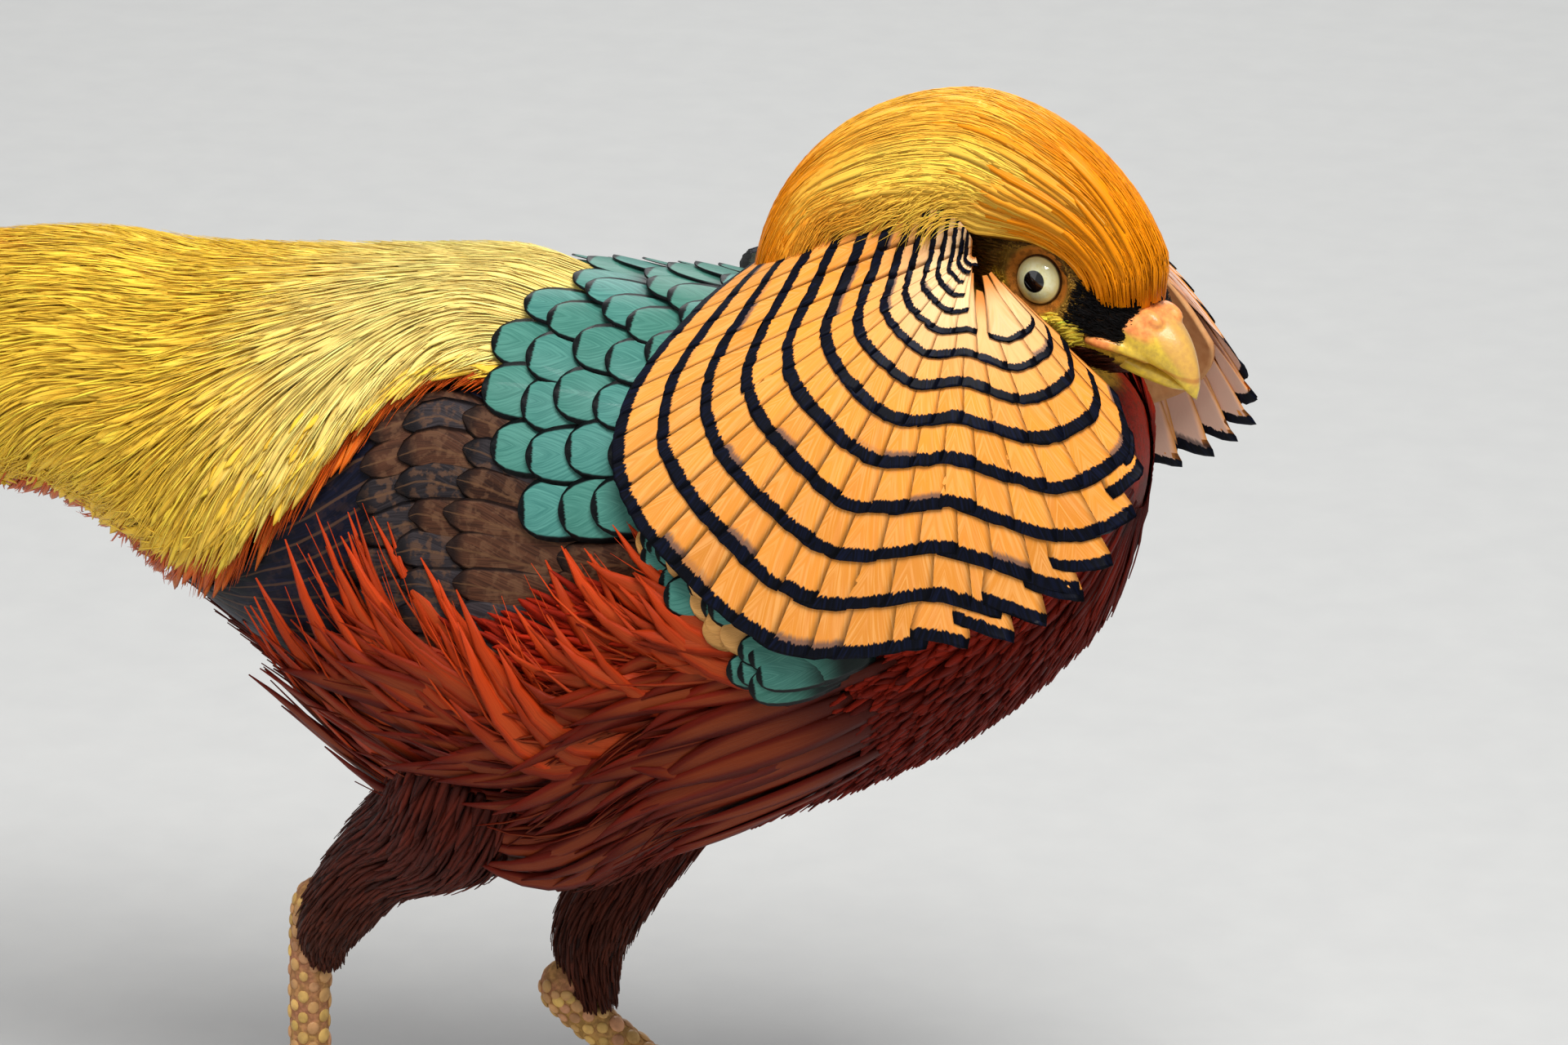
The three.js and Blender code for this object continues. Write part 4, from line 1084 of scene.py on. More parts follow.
# The edge of the mouth from its corner to the bill: forward, out to the side, up.
FLANGE = [[13.6, 9.4, -6.6], [16.5, 8.9, -5.7], [20, 7.2, -5.3], [23, 5.6, -5.5], [26, 4.2, -5.8]]
FLANGE_GIRTH = [0.7, 1.15, 1.2, 1.1, 0.9]
NOSTRIL = (22.4, 2.9, 1.5)
NOSTRIL_SIZE = (3.6, 1.8, 1.9)


def bill_rings(table, away, rows=80, sides=56):
    """One half of the bill; away is 1 for the upper and -1 for the lower half."""
    at, _ = through(table)
    steps = np.linspace(0, len(table) - 1.04, rows)[:, None]
    turn = circle(sides)[None]
    row = at(np.broadcast_to(steps, (rows, sides)))
    lift = np.cos(turn) * away
    arch = np.where(lift > 0, lift, -np.abs(lift) ** 0.4)
    pinch = 1 - 0.3 * np.maximum(0, lift) ** 2
    up = row[..., 1] + away * row[..., 2] * arch
    return head_point(row[..., 0], row[..., 3] * np.sin(turn) * pinch, up)


def gape_flange(side):
    """The soft orange edge that runs from the bill back to the corner of the mouth."""
    path = [head_point(*np.array([f, side * l, u])) for f, l, u in FLANGE]
    return loft("flange", round_rings(limb_surface(path, FLANGE_GIRTH, upward), 50, 20))


print("bill", UPPER_BILL[-1][0] - UPPER_BILL[0][0], "mm long")

# %% [markdown]
# The bill's colours meet along soft borders. The finish measures how far forward and how far up each
# point lies in the head's own frame, so the borders stay with the bill however the head is turned.

# %% Finish of the bill
def bill_finish():
    made = Finish("horn of the bill", 0.35, coat=0.2, specular=0.35)
    offset = made.offset_from(HEAD)
    f = made.times(made.dot(offset, forward), 1000.0)
    u = made.times(made.dot(offset, upward), 1000.0)
    streak = made.noise(900, 4.0)
    colour = made.mix(made.ramp(streak, 0.3, 0.7), srgb(232, 196, 62), srgb(204, 168, 62))
    # The ridge bends down with the hook, ahead of 24 mm.
    hooked = made.maths("MAXIMUM", made.maths("SUBTRACT", f, 24.0), 0.0)
    ridge = made.maths("ADD", u, made.times(hooked, 0.75))
    colour = made.mix(made.times(made.ramp(ridge, 0.6, 2.4), 0.6), colour, srgb(206, 142, 84))
    # Soft skin covers the base and, above the mouth, reaches further forward.
    soft = made.times(made.fall(f, 24.5, 27.5), made.ramp(u, -2.8, -0.8))
    soft = made.maths("MAXIMUM", soft, made.fall(f, 18.0, 22.0))
    base = made.mix(made.ramp(streak, 0.35, 0.7), srgb(246, 160, 84), srgb(226, 130, 66))
    colour = made.mix(soft, colour, base)
    from_mouth = made.maths("ABSOLUTE", made.maths("SUBTRACT", u, MOUTH))
    edge = made.times(made.fall(from_mouth, 0.15, 0.7), 0.55)
    colour = made.mix(edge, colour, srgb(176, 92, 40))
    made.bump(made.noise(1600, 3.0), 0.25, 0.0002)
    return made.colour(colour)


horn = bill_finish()
print(horn.name, "has", len(horn.node_tree.nodes), "nodes")

# %% Bill
upper_forms = [loft("upper_bill_horn", bill_rings(UPPER_BILL, 1))]
for side in SIDES.values():
    f, l, u = NOSTRIL
    upper_forms.append(lump(f, side * l, u, NOSTRIL_SIZE))
upper_forms += [gape_flange(side) for side in SIDES.values()]
upper_bill = remeshed(upper_forms, "upper_bill_horn", 0.36, 5)
lower_bill = loft("lower_bill_horn", bill_rings(LOWER_BILL, -1))
for bill, node in ((upper_bill, "upper_bill"), (lower_bill, "lower_bill")):
    wrapped(bill)
    finish_piece(bill, horn, "bill_horn", node)

# %% [markdown]
# ## Breast and belly
# Small soft feathers in thousands, each from a root under the skin's edge to a tip over the next one's
# root. A particle system would scatter them, but feathers grow in rows. Here loose rows and columns are
# laid out and then pushed about a little. The steps gather towards the tip, where the outline bends.

# %% Laying feathers
def steps_to_tip(count):
    """Shares of a feather's length, closer together towards the tip."""
    return np.sin(np.linspace(0, math.pi / 2, count))


def width_at(along, *knots):
    """The outline of a feather, from pairs of share of the length and half width."""
    at, wide = zip(*knots)
    return np.interp(along, at, wide)


def scattered(rng, rows, columns):
    """Loose rows and columns: shares from 0 to 1 with a little wander."""
    u, v = np.meshgrid((np.arange(columns) + 0.5) / columns, (np.arange(rows) + 0.5) / rows)
    u = u + (np.arange(rows)[:, None] % 2 - 0.5) * 0.5 / columns
    u = u + rng.uniform(-0.4, 0.4, u.shape) / columns
    v = v + rng.uniform(-0.5, 0.5, v.shape) / rows
    return u.ravel(), v.ravel()


print("steps to a tip", steps_to_tip(5).round(2))

# %% Where the red feathers end on the side
# The upper limit in degrees, by x, seen against the wing and the rump.
SIDE_TOP_AT = [-30, -10, 20, 34, 46, 58, 68, 78, 91, 101, 150]
SIDE_TOP = [36, 60, 64, 67, 78, 74, 66, 66, 80, 108, 140]
# Patches of the breast from front to rear: x at the front, x at the rear, rows, columns.
BREAST_PATCHES = [(77, 40, 22, 170), (42, 4, 24, 190), (6, -42, 27, 170), (-38, -150, 50, 96)]


def side_top(x):
    return np.interp(-x, SIDE_TOP_AT, SIDE_TOP)


def breast_limit(x):
    """The breast feathers stop a little below that, and lower still beside the wing's bend."""
    return side_top(x) + 10 + 8 * smooth(-x, -14, 0) * smooth(x, -70, -50)


print("red reaches up to", side_top(0.0), "degrees beside the wing")

# %% Breast and belly feathers
breast_finish = plume_finish("breast feathers", slant=0.6, lines=16, depth=0.55, roughness=0.6, root=0.3)
rng = np.random.default_rng(11)
along = steps_to_tip(5)
soft_outline = width_at(along, (0, 0.7), (0.6, 1.0), (0.9, 0.6), (1, 0.12))


def breast_patch(number, front, rear, rows, columns):
    u, v = scattered(rng, rows, columns)
    turn = (2 * u - 1) * 180
    x = lerp(front, rear, v)
    keep = np.abs(turn) > breast_limit(x)
    turn, x = turn[keep], x[keep]
    off_back = np.abs(turn)
    front_share = smooth(x, 0, 30)
    length = rng.uniform(12, 19, len(x)) * lerp(1, 0.62, front_share)
    belly_share = 0.8 * smooth(-x, 40, 75) * smooth(off_back, 126, 148)
    colour = mixed(belly_colour(x, turn), MAROON, belly_share)
    # On the side they sweep up a little as they run back, as if blown over the wing.
    sweep = 7 * smooth(-x, -30, 30) * (1 - smooth(off_back, 100, 135))
    tip_turn = turn - np.sign(turn) * sweep + rng.normal(0, 2.5, len(x))
    lift = 2.4 * smooth(-x, -20, 5) * (1 - smooth(off_back, 96, 112)) * (1 - smooth(-x, 40, 60))
    patch = blades(
        f"breast_feathers_{number}", on_trunk, (x, x - length), (turn, tip_turn),
        (lift - 2.4, lift + rng.uniform(0.0, 1.5, len(x)), 0.8),
        (rng.uniform(0.8, 1.7, len(x)) * lerp(1, 1.3, front_share))[:, None] * soft_outline,
        along, columns=3, thick=0.22, camber=0.05, colour=varied(colour, rng, 0.2), rng=rng,
    )
    finish_piece(patch, breast_finish, "breast_feathers")


for number, patch in enumerate(BREAST_PATCHES):
    breast_patch(number + 1, *patch)

# %% [markdown]
# The throat is rusty and the thighs are dark maroon. They wear the same small feathers, laid on the
# round limbs, so they only need another surface, size and colour.

# %% Throat
u, v = scattered(rng, 18, 84)
turn = u * 360
throat_colour = mixed(RUST, SCARLET, smooth(v, 0.45, 0.85))
throat = blades(
    "throat_feathers", on_neck, (1.08 - 0.98 * v, 0.8 - 0.98 * v), (turn, turn + rng.normal(0, 4, len(u))),
    (-1.0, rng.uniform(0.5, 2.4, len(u))), rng.uniform(0.5, 1.1, len(u))[:, None] * soft_outline,
    along, columns=3, thick=0.2, rng=rng, colour=varied(throat_colour, rng, 0.22),
)
finish_piece(throat, plume_finish("throat feathers", slant=0.5, lines=14, depth=0.5), "throat_feathers")

# %% Thighs
thigh_finish = plume_finish("thigh feathers", slant=0.6, lines=14, depth=0.5)
for name, surface in on_thigh.items():
    u, v = scattered(rng, 36, 40)
    turn = u * 360
    colour = varied(mixed(MAROON, BELLY_BROWN, smooth(v, 0.2, 0.8)), rng, 0.22)
    thigh = blades(
        "thigh_feathers_" + name, surface, (v * 0.88 - 0.03, v * 0.88 + 0.13),
        (turn, turn + rng.normal(0, 4, len(u))), (-1.2, rng.uniform(-0.2, 0.7, len(u))),
        rng.uniform(0.7, 1.2, len(u))[:, None] * lerp(1, 0.6, v)[:, None] * soft_outline,
        along, columns=3, thick=0.16, camber=0.05, colour=colour, rng=rng,
    )
    finish_piece(thigh, thigh_finish, "thigh_feathers")

# %% [markdown]
# ## The face
# Short bristles cover the face: black ones before the eye, brown ones above it, yellow feathers below,
# rusty hairs on the chin. Hair curves would look finer, but they don't export. These are the thinnest
# of blades, laid on the skull's own surface and kept clear of the eye.

# %% Surface of the bare head
SKULL_MIDDLE = np.array([-2.0, 0, -1.0])


def face_surface(side):
    """The bare head by its own forward and upward places."""
    at, find = through(SKULL)

    def point(f, u, height=0.0):
        f, u, height = np.broadcast_arrays(f, u, height)
        row = at(find(f))
        level = np.clip((u - row[..., 1]) / np.maximum(row[..., 2], 0.5), -0.99, 0.99)
        l = side * row[..., 3] * np.sqrt(1 - level**2)
        local = carved(np.stack([f, l, u], -1), side)
        out = unit(local - SKULL_MIDDLE)
        return head_point(*np.moveaxis(local + out * height[..., None], -1, 0))

    return point


print("right cheek", face_surface(RIGHT)(5.0, -8.0).round(1))

# %% Face hairs
# Each kind: name, number, f range, u range, how far they run back and down, half width, height, colour.
FACE_HAIRS = [
    ("cheek", 760, (-5, 14), (-12, -3.4), (4.6, 1.6), 0.6, 0.9, srgb(250, 208, 70)),
    ("lore", 620, (10.5, 22), (-5.2, 4.5), (2.4, -0.6), 0.17, 1.0, srgb(10, 8, 8)),
    ("brow", 420, (-13, 11), (3.8, 9.0), (2.2, 0.2), 0.16, 0.6, srgb(112, 80, 38)),
    ("ear", 420, (-16, -8), (-11, 4), (2.6, 0.8), 0.22, 0.7, srgb(160, 118, 54)),
    ("chin", 620, (7, 20), (-13.5, -8.2), (4.5, 0.8), 0.25, 1.0, srgb(66, 26, 10)),
]
EYE_CLEAR = {"cheek": 8.3}  # how far the hairs keep off the eye's line of sight, if not 7 mm
hair_finish = plume_finish("face hairs", slant=0.2, lines=10, depth=0.4, roughness=0.5, root=0.6)
along = np.linspace(0, 1, 5)
thin = width_at(along, (0, 0.8), (0.5, 1.0), (1, 0.15))
for name, side in SIDES.items():
    rng = np.random.default_rng(15)
    surface = face_surface(side)
    for kind, count, f_range, u_range, (run, fall), half, rise, colour in FACE_HAIRS:
        f, u = rng.uniform(*f_range, count), rng.uniform(*u_range, count)
        local = head_parts_of(surface(f, u))
        clear = from_eye(local, side)[1] > EYE_CLEAR.get(kind, 7.0)
        if kind == "cheek":
            clear &= u < -3.0 - 0.12 * f + 0.2 * np.maximum(0, f - 8)
        f, u = f[clear], u[clear]
        length = rng.uniform(0.7, 1.2, len(f))
        hairs = blades(
            f"{kind}_hairs_{name}", surface, (f, f - run * length),
            (u, u - fall * length + rng.normal(0, 0.4, len(f))),
            (-0.15, rise * rng.uniform(0.4, 1.2, len(f))),
            rng.uniform(0.7, 1.3, len(f))[:, None] * half * thin, along, columns=3, thick=0.06, camber=0.05,
            colour=varied(colour, rng, 0.25, len(f)), rng=rng,
        )
        finish_piece(hairs, hair_finish, "face_skin")

# %% [markdown]
# ## Plates on points
# The skin round the eye is beaded with tiny warts, and the shanks are shod with horny scutes. They
# repeat by a rule, so one Geometry Nodes tree makes them all: it sets a small rounded plate on every
# point it is given, turned and sized by attributes worked out beforehand.

# %% A node tree that sets plates on points
def plate_tree(name, material, detail):
    tree = bpy.data.node_groups.new(name, "GeometryNodeTree")
    tree.interface.new_socket("Geometry", in_out="INPUT", socket_type="NodeSocketGeometry")
    growth = tree.interface.new_socket("Growth", in_out="INPUT", socket_type="NodeSocketFloat")
    tree.interface.new_socket("Geometry", in_out="OUTPUT", socket_type="NodeSocketGeometry")

    def add(kind, inputs=(), **settings):
        made = tree.nodes.new(kind)
        for key, value in settings.items():
            setattr(made, key, value)
        for socket, value in dict(inputs).items():
            if isinstance(value, bpy.types.NodeSocket):
                tree.links.new(value, made.inputs[socket])
            else:
                made.inputs[socket].default_value = value
        return made

    def given(attribute):
        made = add("GeometryNodeInputNamedAttribute", {"Name": attribute}, data_type="FLOAT_VECTOR")
        return made.outputs["Attribute"]

    def scaled(vector, factor):
        made = add("ShaderNodeVectorMath", {0: vector, "Scale": factor}, operation="SCALE")
        return made.outputs[0]

    entry = add("NodeGroupInput")
    plate = add("GeometryNodeMeshIcoSphere", {"Radius": 1.0, "Subdivisions": detail})
    upright = add("FunctionNodeAlignRotationToVector", {"Vector": given("out")}, axis="Z")
    lying = add(
        "FunctionNodeAlignRotationToVector", {"Rotation": upright.outputs[0], "Vector": given("lie")},
        axis="X", pivot_axis="Z",
    )
    vary = add("FunctionNodeRandomValue", {"Seed": 7, 2: 0.85, 3: 1.12})
    grown = scaled(given("size"), entry.outputs["Growth"])
    scatter = add("GeometryNodeInstanceOnPoints", {
        "Points": entry.outputs["Geometry"], "Instance": plate.outputs["Mesh"],
        "Rotation": lying.outputs[0], "Scale": scaled(grown, vary.outputs[1]),
    })
    real = add("GeometryNodeRealizeInstances", {"Geometry": scatter.outputs[0]})
    soft = add("GeometryNodeSetShadeSmooth", {"Geometry": real.outputs[0]})
    dressed = add("GeometryNodeSetMaterial", {"Geometry": soft.outputs[0], "Material": material})
    leave = add("NodeGroupOutput", {"Geometry": dressed.outputs[0]})
    print(name, "tree of", len(tree.nodes), "nodes, ends in", leave.name)
    return tree, growth.identifier

# %% Plates from that tree
def plates(name, points, out, lie, size, material, colour, detail=1):
    """out and lie are the plates' directions, size their half axes along, across and out, in mm."""
    carrier = placed(name, bpy.data.meshes.new(name))
    carrier.data.from_pydata(metres(points).tolist(), [], [])
    given = {"out": out, "lie": lie, "size": size / 1000}
    for label, values in given.items():
        layer = carrier.data.attributes.new(label, "FLOAT_VECTOR", "POINT")
        layer.data.foreach_set("vector", np.asarray(values, np.float32).ravel())
    tree, growth = plate_tree(name, material, detail)
    scatter = carrier.modifiers.new("plates", "NODES")
    scatter.node_group = tree
    scatter[growth] = 1.0
    made = baked(carrier)
    for label in given:
        if label in made.data.attributes:
            made.data.attributes.remove(made.data.attributes[label])
    places = wrapped(made)
    add_colour(made.data, "tint", np.repeat(colour, len(places) // len(points), axis=0))
    return made

# %% Beads round the eyes
BEAD_GRID = 76  # steps each way of the grid that the beads are drawn from
BEADED = (7.6, 12)  # mm off the eye's line of sight
for name, side in SIDES.items():
    rng = np.random.default_rng(17)
    rows, turns = np.linspace(1.5, 5.6, BEAD_GRID), np.radians(np.linspace(50, 150, BEAD_GRID))
    steps, turn = np.meshgrid(rows, turns)
    steps = steps + rng.normal(0, 0.012, steps.shape)
    turn = side * (turn + rng.normal(0, 0.006, turn.shape))
    flat = carved(skull_local(steps.ravel(), turn.ravel()), side)
    off = from_eye(flat, side)[1]
    bare = (off > BEADED[0]) & (off < BEADED[1]) & (rng.random(len(off)) < 0.75)
    bare &= np.abs(flat[:, 2]) < 7
    flat = flat[bare]
    points = head_point(*flat.T)
    out = unit(head_point(*(flat + unit(flat - SKULL_MIDDLE)).T) - points)
    lie = unit(np.cross(out, rng.normal(0, 1, out.shape)))
    size = rng.uniform(0.2, 0.36, (len(points), 1)) * [1.15, 1.0, 0.6]
    tint = varied(np.clip(skin_colour(points) * 1.25, 0, 1), rng, 0.2)
    beads = plates("skin_beads_" + name, points, out, lie, size, skin_material, tint)
    finish_piece(beads, skin_material, "face_skin")

# %% [markdown]
# ## The crest
# A hood of silky strands, combed from the forehead over the crown to the nape. Crest feathers are narrow
# and their barbs don't hook together, so they read as hair. Strands alone would be needed in hundreds
# of thousands. So wide locks with drawn streaks make the ground, and thin strands break it up.

# %% Surface of the hood
def crest_curl(share, across):
    """How far the hood's edge sinks towards the head, in mm."""
    return 5.0 * smooth(np.abs(across), 0.78, 1.12) + 2.5 * (1 - smooth(share, -0.03, 0.05))


def on_hood(share, across, height=0.0):
    return on_crest(share, across, height - crest_curl(share, across))


def crest_tint(share, across):
    """Orange on the brow and the nape, paler gold over the crown and along the middle of each side."""
    gold = smooth(np.abs(across), 0.3, 0.62) * (1 - smooth(share, 0.5, 0.8)) * smooth(share, 0.02, 0.2)
    gold = np.maximum(gold, 0.55 * smooth(share, 0.12, 0.3) * (1 - smooth(share, 0.5, 0.7)))
    return mixed(CREST_ORANGE, CREST_GOLD, gold)


print("the hood's edge curls in by", crest_curl(0.5, 1.0).round(1), "mm")

# %% [markdown]
# Silk shines because its fibres all lie one way. The finish draws some sixteen streaks side by side
# along each lock and bumps it by the same noise. The streaks are fibre tone and painted light: painted
# shade in the hollows and a painted sheen on the crests.

# %% Finish of a silky lock
def silk_finish(name, dark, light):
    """A lock of many fine hairs: streaks along it, with painted shade in the hollows and a painted sheen on
    the crests.
    """
    made = Finish(name, 0.36)
    _, reach = made.vane()
    sideways = made.node("SeparateXYZ", {0: made.node("UVMap", uv_map="vane").outputs[0]}).outputs[0]
    luck = made.attribute("luck")
    place = made.vector(made.times(sideways, 16.0), made.times(reach, 1.6), made.times(luck, 60.0))
    hair = made.noise(1.0, 2.5, place)
    tint = made.tint()
    # Painted shade in the hollows of the streaks; the next line lays a painted sheen on their crests.
    colour = made.mix(made.ramp(hair, 0.3, 0.62), made.mix(0.28, tint, dark), tint)
    colour = made.mix(made.times(made.ramp(hair, 0.58, 0.75), 0.5), colour, light)
    made.bump(hair, 0.55, 0.0003)
    return made.colour(colour)


# The two colours are the painted shade and the painted sheen of the crest's locks.
silk = silk_finish("silky crest locks", srgb(196, 100, 6), srgb(255, 214, 112))
crest_finish = plume_finish("crest strands", slant=0.0, lines=3, depth=0.12, roughness=0.34, root=0.9)
print(silk.name, "has", len(silk.node_tree.nodes), "nodes")

# %% Down under the crest
rng = np.random.default_rng(21)
crest_core = sheet(
    "crest_core", on_hood, 36, 48, -CREST_DEPTH + 3, -3.2,
    lambda u, v: (lerp(0.01, 0.9, v), (2 * u - 1) * 0.97),
)
hood = down_finish("under the crest", CREST_ORANGE * 0.75, CREST_GOLD * 0.95, 400)
finish_piece(crest_core, hood, "crest_feathers")

# %% Locks of the crest
LOCKS = 820
along = np.linspace(0, 1, 12)
lock = width_at(along, (0, 0.6), (0.35, 1.0), (0.7, 0.8), (0.92, 0.4), (1, 0.06))
root = rng.uniform(-0.03, 0.78, LOCKS)
across = rng.uniform(-0.98, 0.98, LOCKS)
tip = np.minimum(root + rng.uniform(0.22, 0.4, LOCKS), 1.0 + rng.uniform(-0.03, 0.04, LOCKS))
at_edge = smooth(np.abs(across), 0.7, 1.0)
locks = blades(
    "crest_locks", on_hood, (root, tip), (across, across * 0.99 + rng.normal(0, 0.03, LOCKS), 1.4),
    rng.uniform(-1.3, -0.6, LOCKS)[:, None] - 1.5 * (1 - along) ** 2 - 0.5 * along**3,
    (rng.uniform(1.4, 2.8, LOCKS) * lerp(1, 0.4, at_edge))[:, None] * lock,
    along, columns=5, thick=0.25, camber=0.12, colour=varied(crest_tint(root, across), rng, 0.05), rng=rng,
)
finish_piece(locks, silk, "crest_feathers", "crest")

# %% Thin strands over the locks
STRANDS = 4300
along = np.linspace(0, 1, 6)
strand = width_at(along, (0, 0.7), (0.4, 1.0), (0.8, 0.7), (1, 0.15))
root = rng.uniform(-0.025, 0.82, STRANDS)
across = rng.uniform(-1.0, 1.0, STRANDS)
length = rng.uniform(0.14, 0.3, STRANDS)
tip = np.minimum(root + length, 1.0 + rng.uniform(-0.02, 0.05, STRANDS))
loose = np.sign(across) * smooth(np.abs(across), 0.8, 1.0) * smooth(root, 0.2, 0.45)
wander = rng.normal(0, 0.014, STRANDS) + 0.08 * loose
strands = blades(
    "crest_strands", on_hood, (root, tip), (across, across * 0.985 + wander, 1.4),
    rng.uniform(-0.7, -0.4, STRANDS)[:, None] - 0.7 * (1 - along) ** 2 - 0.5 * along**3,
    rng.uniform(0.12, 0.32, STRANDS)[:, None] * strand, along, columns=3, thick=0.05, camber=0,
    colour=varied(crest_tint(root, across), rng, 0.1), rng=rng,
)
finish_piece(strands, crest_finish, "crest_feathers")

# %% [markdown]
# The hood's lower edge isn't cut off like a cap's: loose hairs run out over the cape. They lie on the
# hood's surface before its edge curls in, so they stand off a little.

# %% Loose hairs of the crest's edge
WISPS = 640
for name, side in SIDES.items():
    rng = np.random.default_rng(23)
    root = rng.uniform(0.3, 0.9, WISPS)
    start = rng.uniform(0.7, 1.0, WISPS)
    length = rng.uniform(0.08, 0.2, WISPS)
    wisps = blades(
        "crest_wisps_" + name, on_crest, (root, root + length),
        (start, start + 0.11 + rng.normal(0, 0.03, WISPS), 1.5, -side),
        (rng.uniform(-1.5, -0.3, WISPS), rng.uniform(-3.2, -1.2, WISPS)),
        rng.uniform(0.07, 0.15, WISPS)[:, None] * strand, along, columns=3, thick=0.06, camber=0,
        colour=varied(mixed(crest_tint(root, start), CREST_GOLD, 0.35), rng, 0.1), rng=rng,
    )
    finish_piece(wisps, crest_finish, "crest_feathers")

# %% [markdown]
# ## The cape
# Broad square-ended feathers fan out from the ear in rings. A painted pattern of arcs would look the
# same from far off, but here the arcs are made as on the bird: every feather is orange with a blue-black
# bar at its end, and the bars join. The bar is measured in millimetres, so each feather carries its
# bar's share of its own length.

# %% Finish of the cape feathers
def cape_finish():
    made = Finish("cape feathers", 0.46)
    across, reach = made.vane()
    luck = made.attribute("luck")
    barb = made.barbs(across, reach, 0.7, 16, luck)
    soft = made.barbs(across, reach, 0.8, 4, luck)
    # The bar's border wavers with the barbs.
    edge = made.maths("MULTIPLY_ADD", barb, 0.07, reach)
    edge = made.maths("SUBTRACT", edge, made.times(soft, 0.03))
    limit = made.maths("SUBTRACT", 1.01, made.attribute("bar"))
    bar = made.ramp(edge, made.maths("SUBTRACT", limit, 0.007), made.maths("ADD", limit, 0.007))
    pale = made.mix(made.times(made.ramp(barb, 0.42, 0.66), 0.45), made.tint(), srgb(246, 184, 112))
    pale = made.mix(made.times(made.ramp(soft, 0.4, 0.7), 0.35), pale, srgb(226, 144, 76))
    pale = made.mix(made.ramp(reach, 0.05, 0.5), srgb(206, 128, 60), pale)
    # The under side is a pinkish buff.
    pale = made.mix(made.times(made.attribute("under"), 0.85), pale, srgb(236, 202, 184))
    # A few feathers show slate grey ahead of the bar.
    slate = made.ramp(edge, made.maths("SUBTRACT", limit, 0.07), made.maths("SUBTRACT", limit, 0.02))
    slate = made.times(slate, made.ramp(luck, 0.78, 0.84))
    pale = made.mix(made.times(slate, 0.8), pale, srgb(72, 66, 72))
    blue = made.mix(made.ramp(barb, 0.4, 0.75), srgb(4, 5, 12), srgb(12, 18, 40))
    made.bump(barb, 0.3, 0.00012)
    return made.colour(made.mix(bar, pale, blue))


cape_material = cape_finish()
cape_down = down_finish("down under the cape", srgb(196, 128, 74), srgb(232, 178, 122))
print(cape_material.name, "has", len(cape_material.node_tree.nodes), "nodes")

# %% Rings of the fan
# The reach of each ring's tips, from the rim (1) to the ear (0).
CAPE_RINGS = [1.0, 0.875, 0.755, 0.64, 0.53, 0.425, 0.335, 0.26, 0.2, 0.15, 0.11, 0.078, 0.052, 0.034]
FRONT_SPREAD = 0.9  # how much further apart the rings lie at the throat


def spread(round_):
    """The rings run off the fan's front edge towards the throat."""
    return 1 + FRONT_SPREAD * (1 - smooth(round_, 0.02, 0.36))


def fanned(surface):
    """The fan in the feathers' own rings."""
    return lambda ring, round_, height=0.0: surface(ring * spread(round_), round_, height)


def ring_places(rng):
    """Root, tip, place round the fan and half width of every feather, ring by ring."""
    rows = []
    for ring, tip in enumerate(CAPE_RINGS):
        number = max(12, round(32 * tip**0.6))
        spots = (np.arange(number) + 0.5 + (ring % 2 - 0.5) * 0.5) / number
        inner = max(0.012, tip - max(0.1, 0.33 * tip**0.5))
        for at in spots:
            rows.append([inner, tip + rng.uniform(-0.004, 0.004) * tip**0.5, at * 1.02, 0.8 / number])
    return np.array(rows).T


print("feathers in one half of the cape:", len(ring_places(np.random.default_rng(31))[0]))

# %% Cape feathers
BAR = 2.3  # mm, the depth of a dark bar on the longest feathers
CAPE_COLUMNS = 7
along = steps_to_tip(8)
square = width_at(along, (0, 0.45), (0.5, 0.85), (0.9, 1.0), (1, 0.93))


def cape_half(name, side):
    rng = np.random.default_rng(31)
    surface = fanned(cape_surface(name))
    start, end, round_, half = ring_places(rng)
    # The feathers keep off the eye, and the far cape ends under the crest.
    eye_way = from_eye(head_parts_of(surface(end, round_)), side)[1]
    clear = (eye_way > 8.8) & (start * spread(round_) < 0.76)
    clear &= (side == RIGHT) | (round_ < 0.94) | (end < 0.6)
    end = np.minimum(end, 1.0 / spread(round_))
    start, end, round_, half = (values[clear] for values in (start, end, round_, half))
    rim = surface(0.999, np.linspace(0, 1, 60))
    girth = np.linalg.norm(np.diff(rim, axis=0), axis=1).sum()
    lengths = np.linalg.norm(surface(end, round_) - surface(start, round_), axis=1)
    half_mm = np.minimum(half * girth * end * rng.uniform(0.95, 1.1, len(end)), 10)
    colour = mixed(CAPE_ORANGE, srgb(250, 208, 156), smooth(-end, -0.4, -0.1))
    colour = mixed(colour, srgb(210, 136, 58), 0.55 * smooth(end, 0.5, 0.95))
    feathers = blades(
        "cape_feathers_" + name, surface, (start, end), (round_, round_ + rng.normal(0, 0.002, len(end))),
        (-1.7, 0.1, 0.8), half_mm[:, None] * square,
        along, columns=CAPE_COLUMNS, thick=0.03, ragged=0.3, bow=0.04, fan=half, roll=0.04,
        colour=varied(colour, rng, 0.05), rng=rng,
    )
    depth = rng.uniform(0.9, 1.1, len(end)) * BAR * lerp(0.32, 1, smooth(end, 0.05, 0.5)) / lengths
    ring_size = 2 * CAPE_COLUMNS - 2
    is_under = np.arange(ring_size) >= CAPE_COLUMNS
    add_number(feathers.data, "under", np.tile(is_under, len(end) * len(along)))
    add_number(feathers.data, "bar", np.repeat(depth, ring_size * len(along)))
    finish_piece(feathers, cape_material, "cape_feathers", "cape_" + name)


for name, side in SIDES.items():
    core = sheet(
        "cape_core_" + name, cape_surface(name), 60, 24, -5.0, -3.4,
        lambda u, v: (lerp(0.16, 0.78, v), lerp(0.12, 1, u)),
    )
    finish_piece(core, cape_down, "cape_feathers")
    cape_half(name, side)

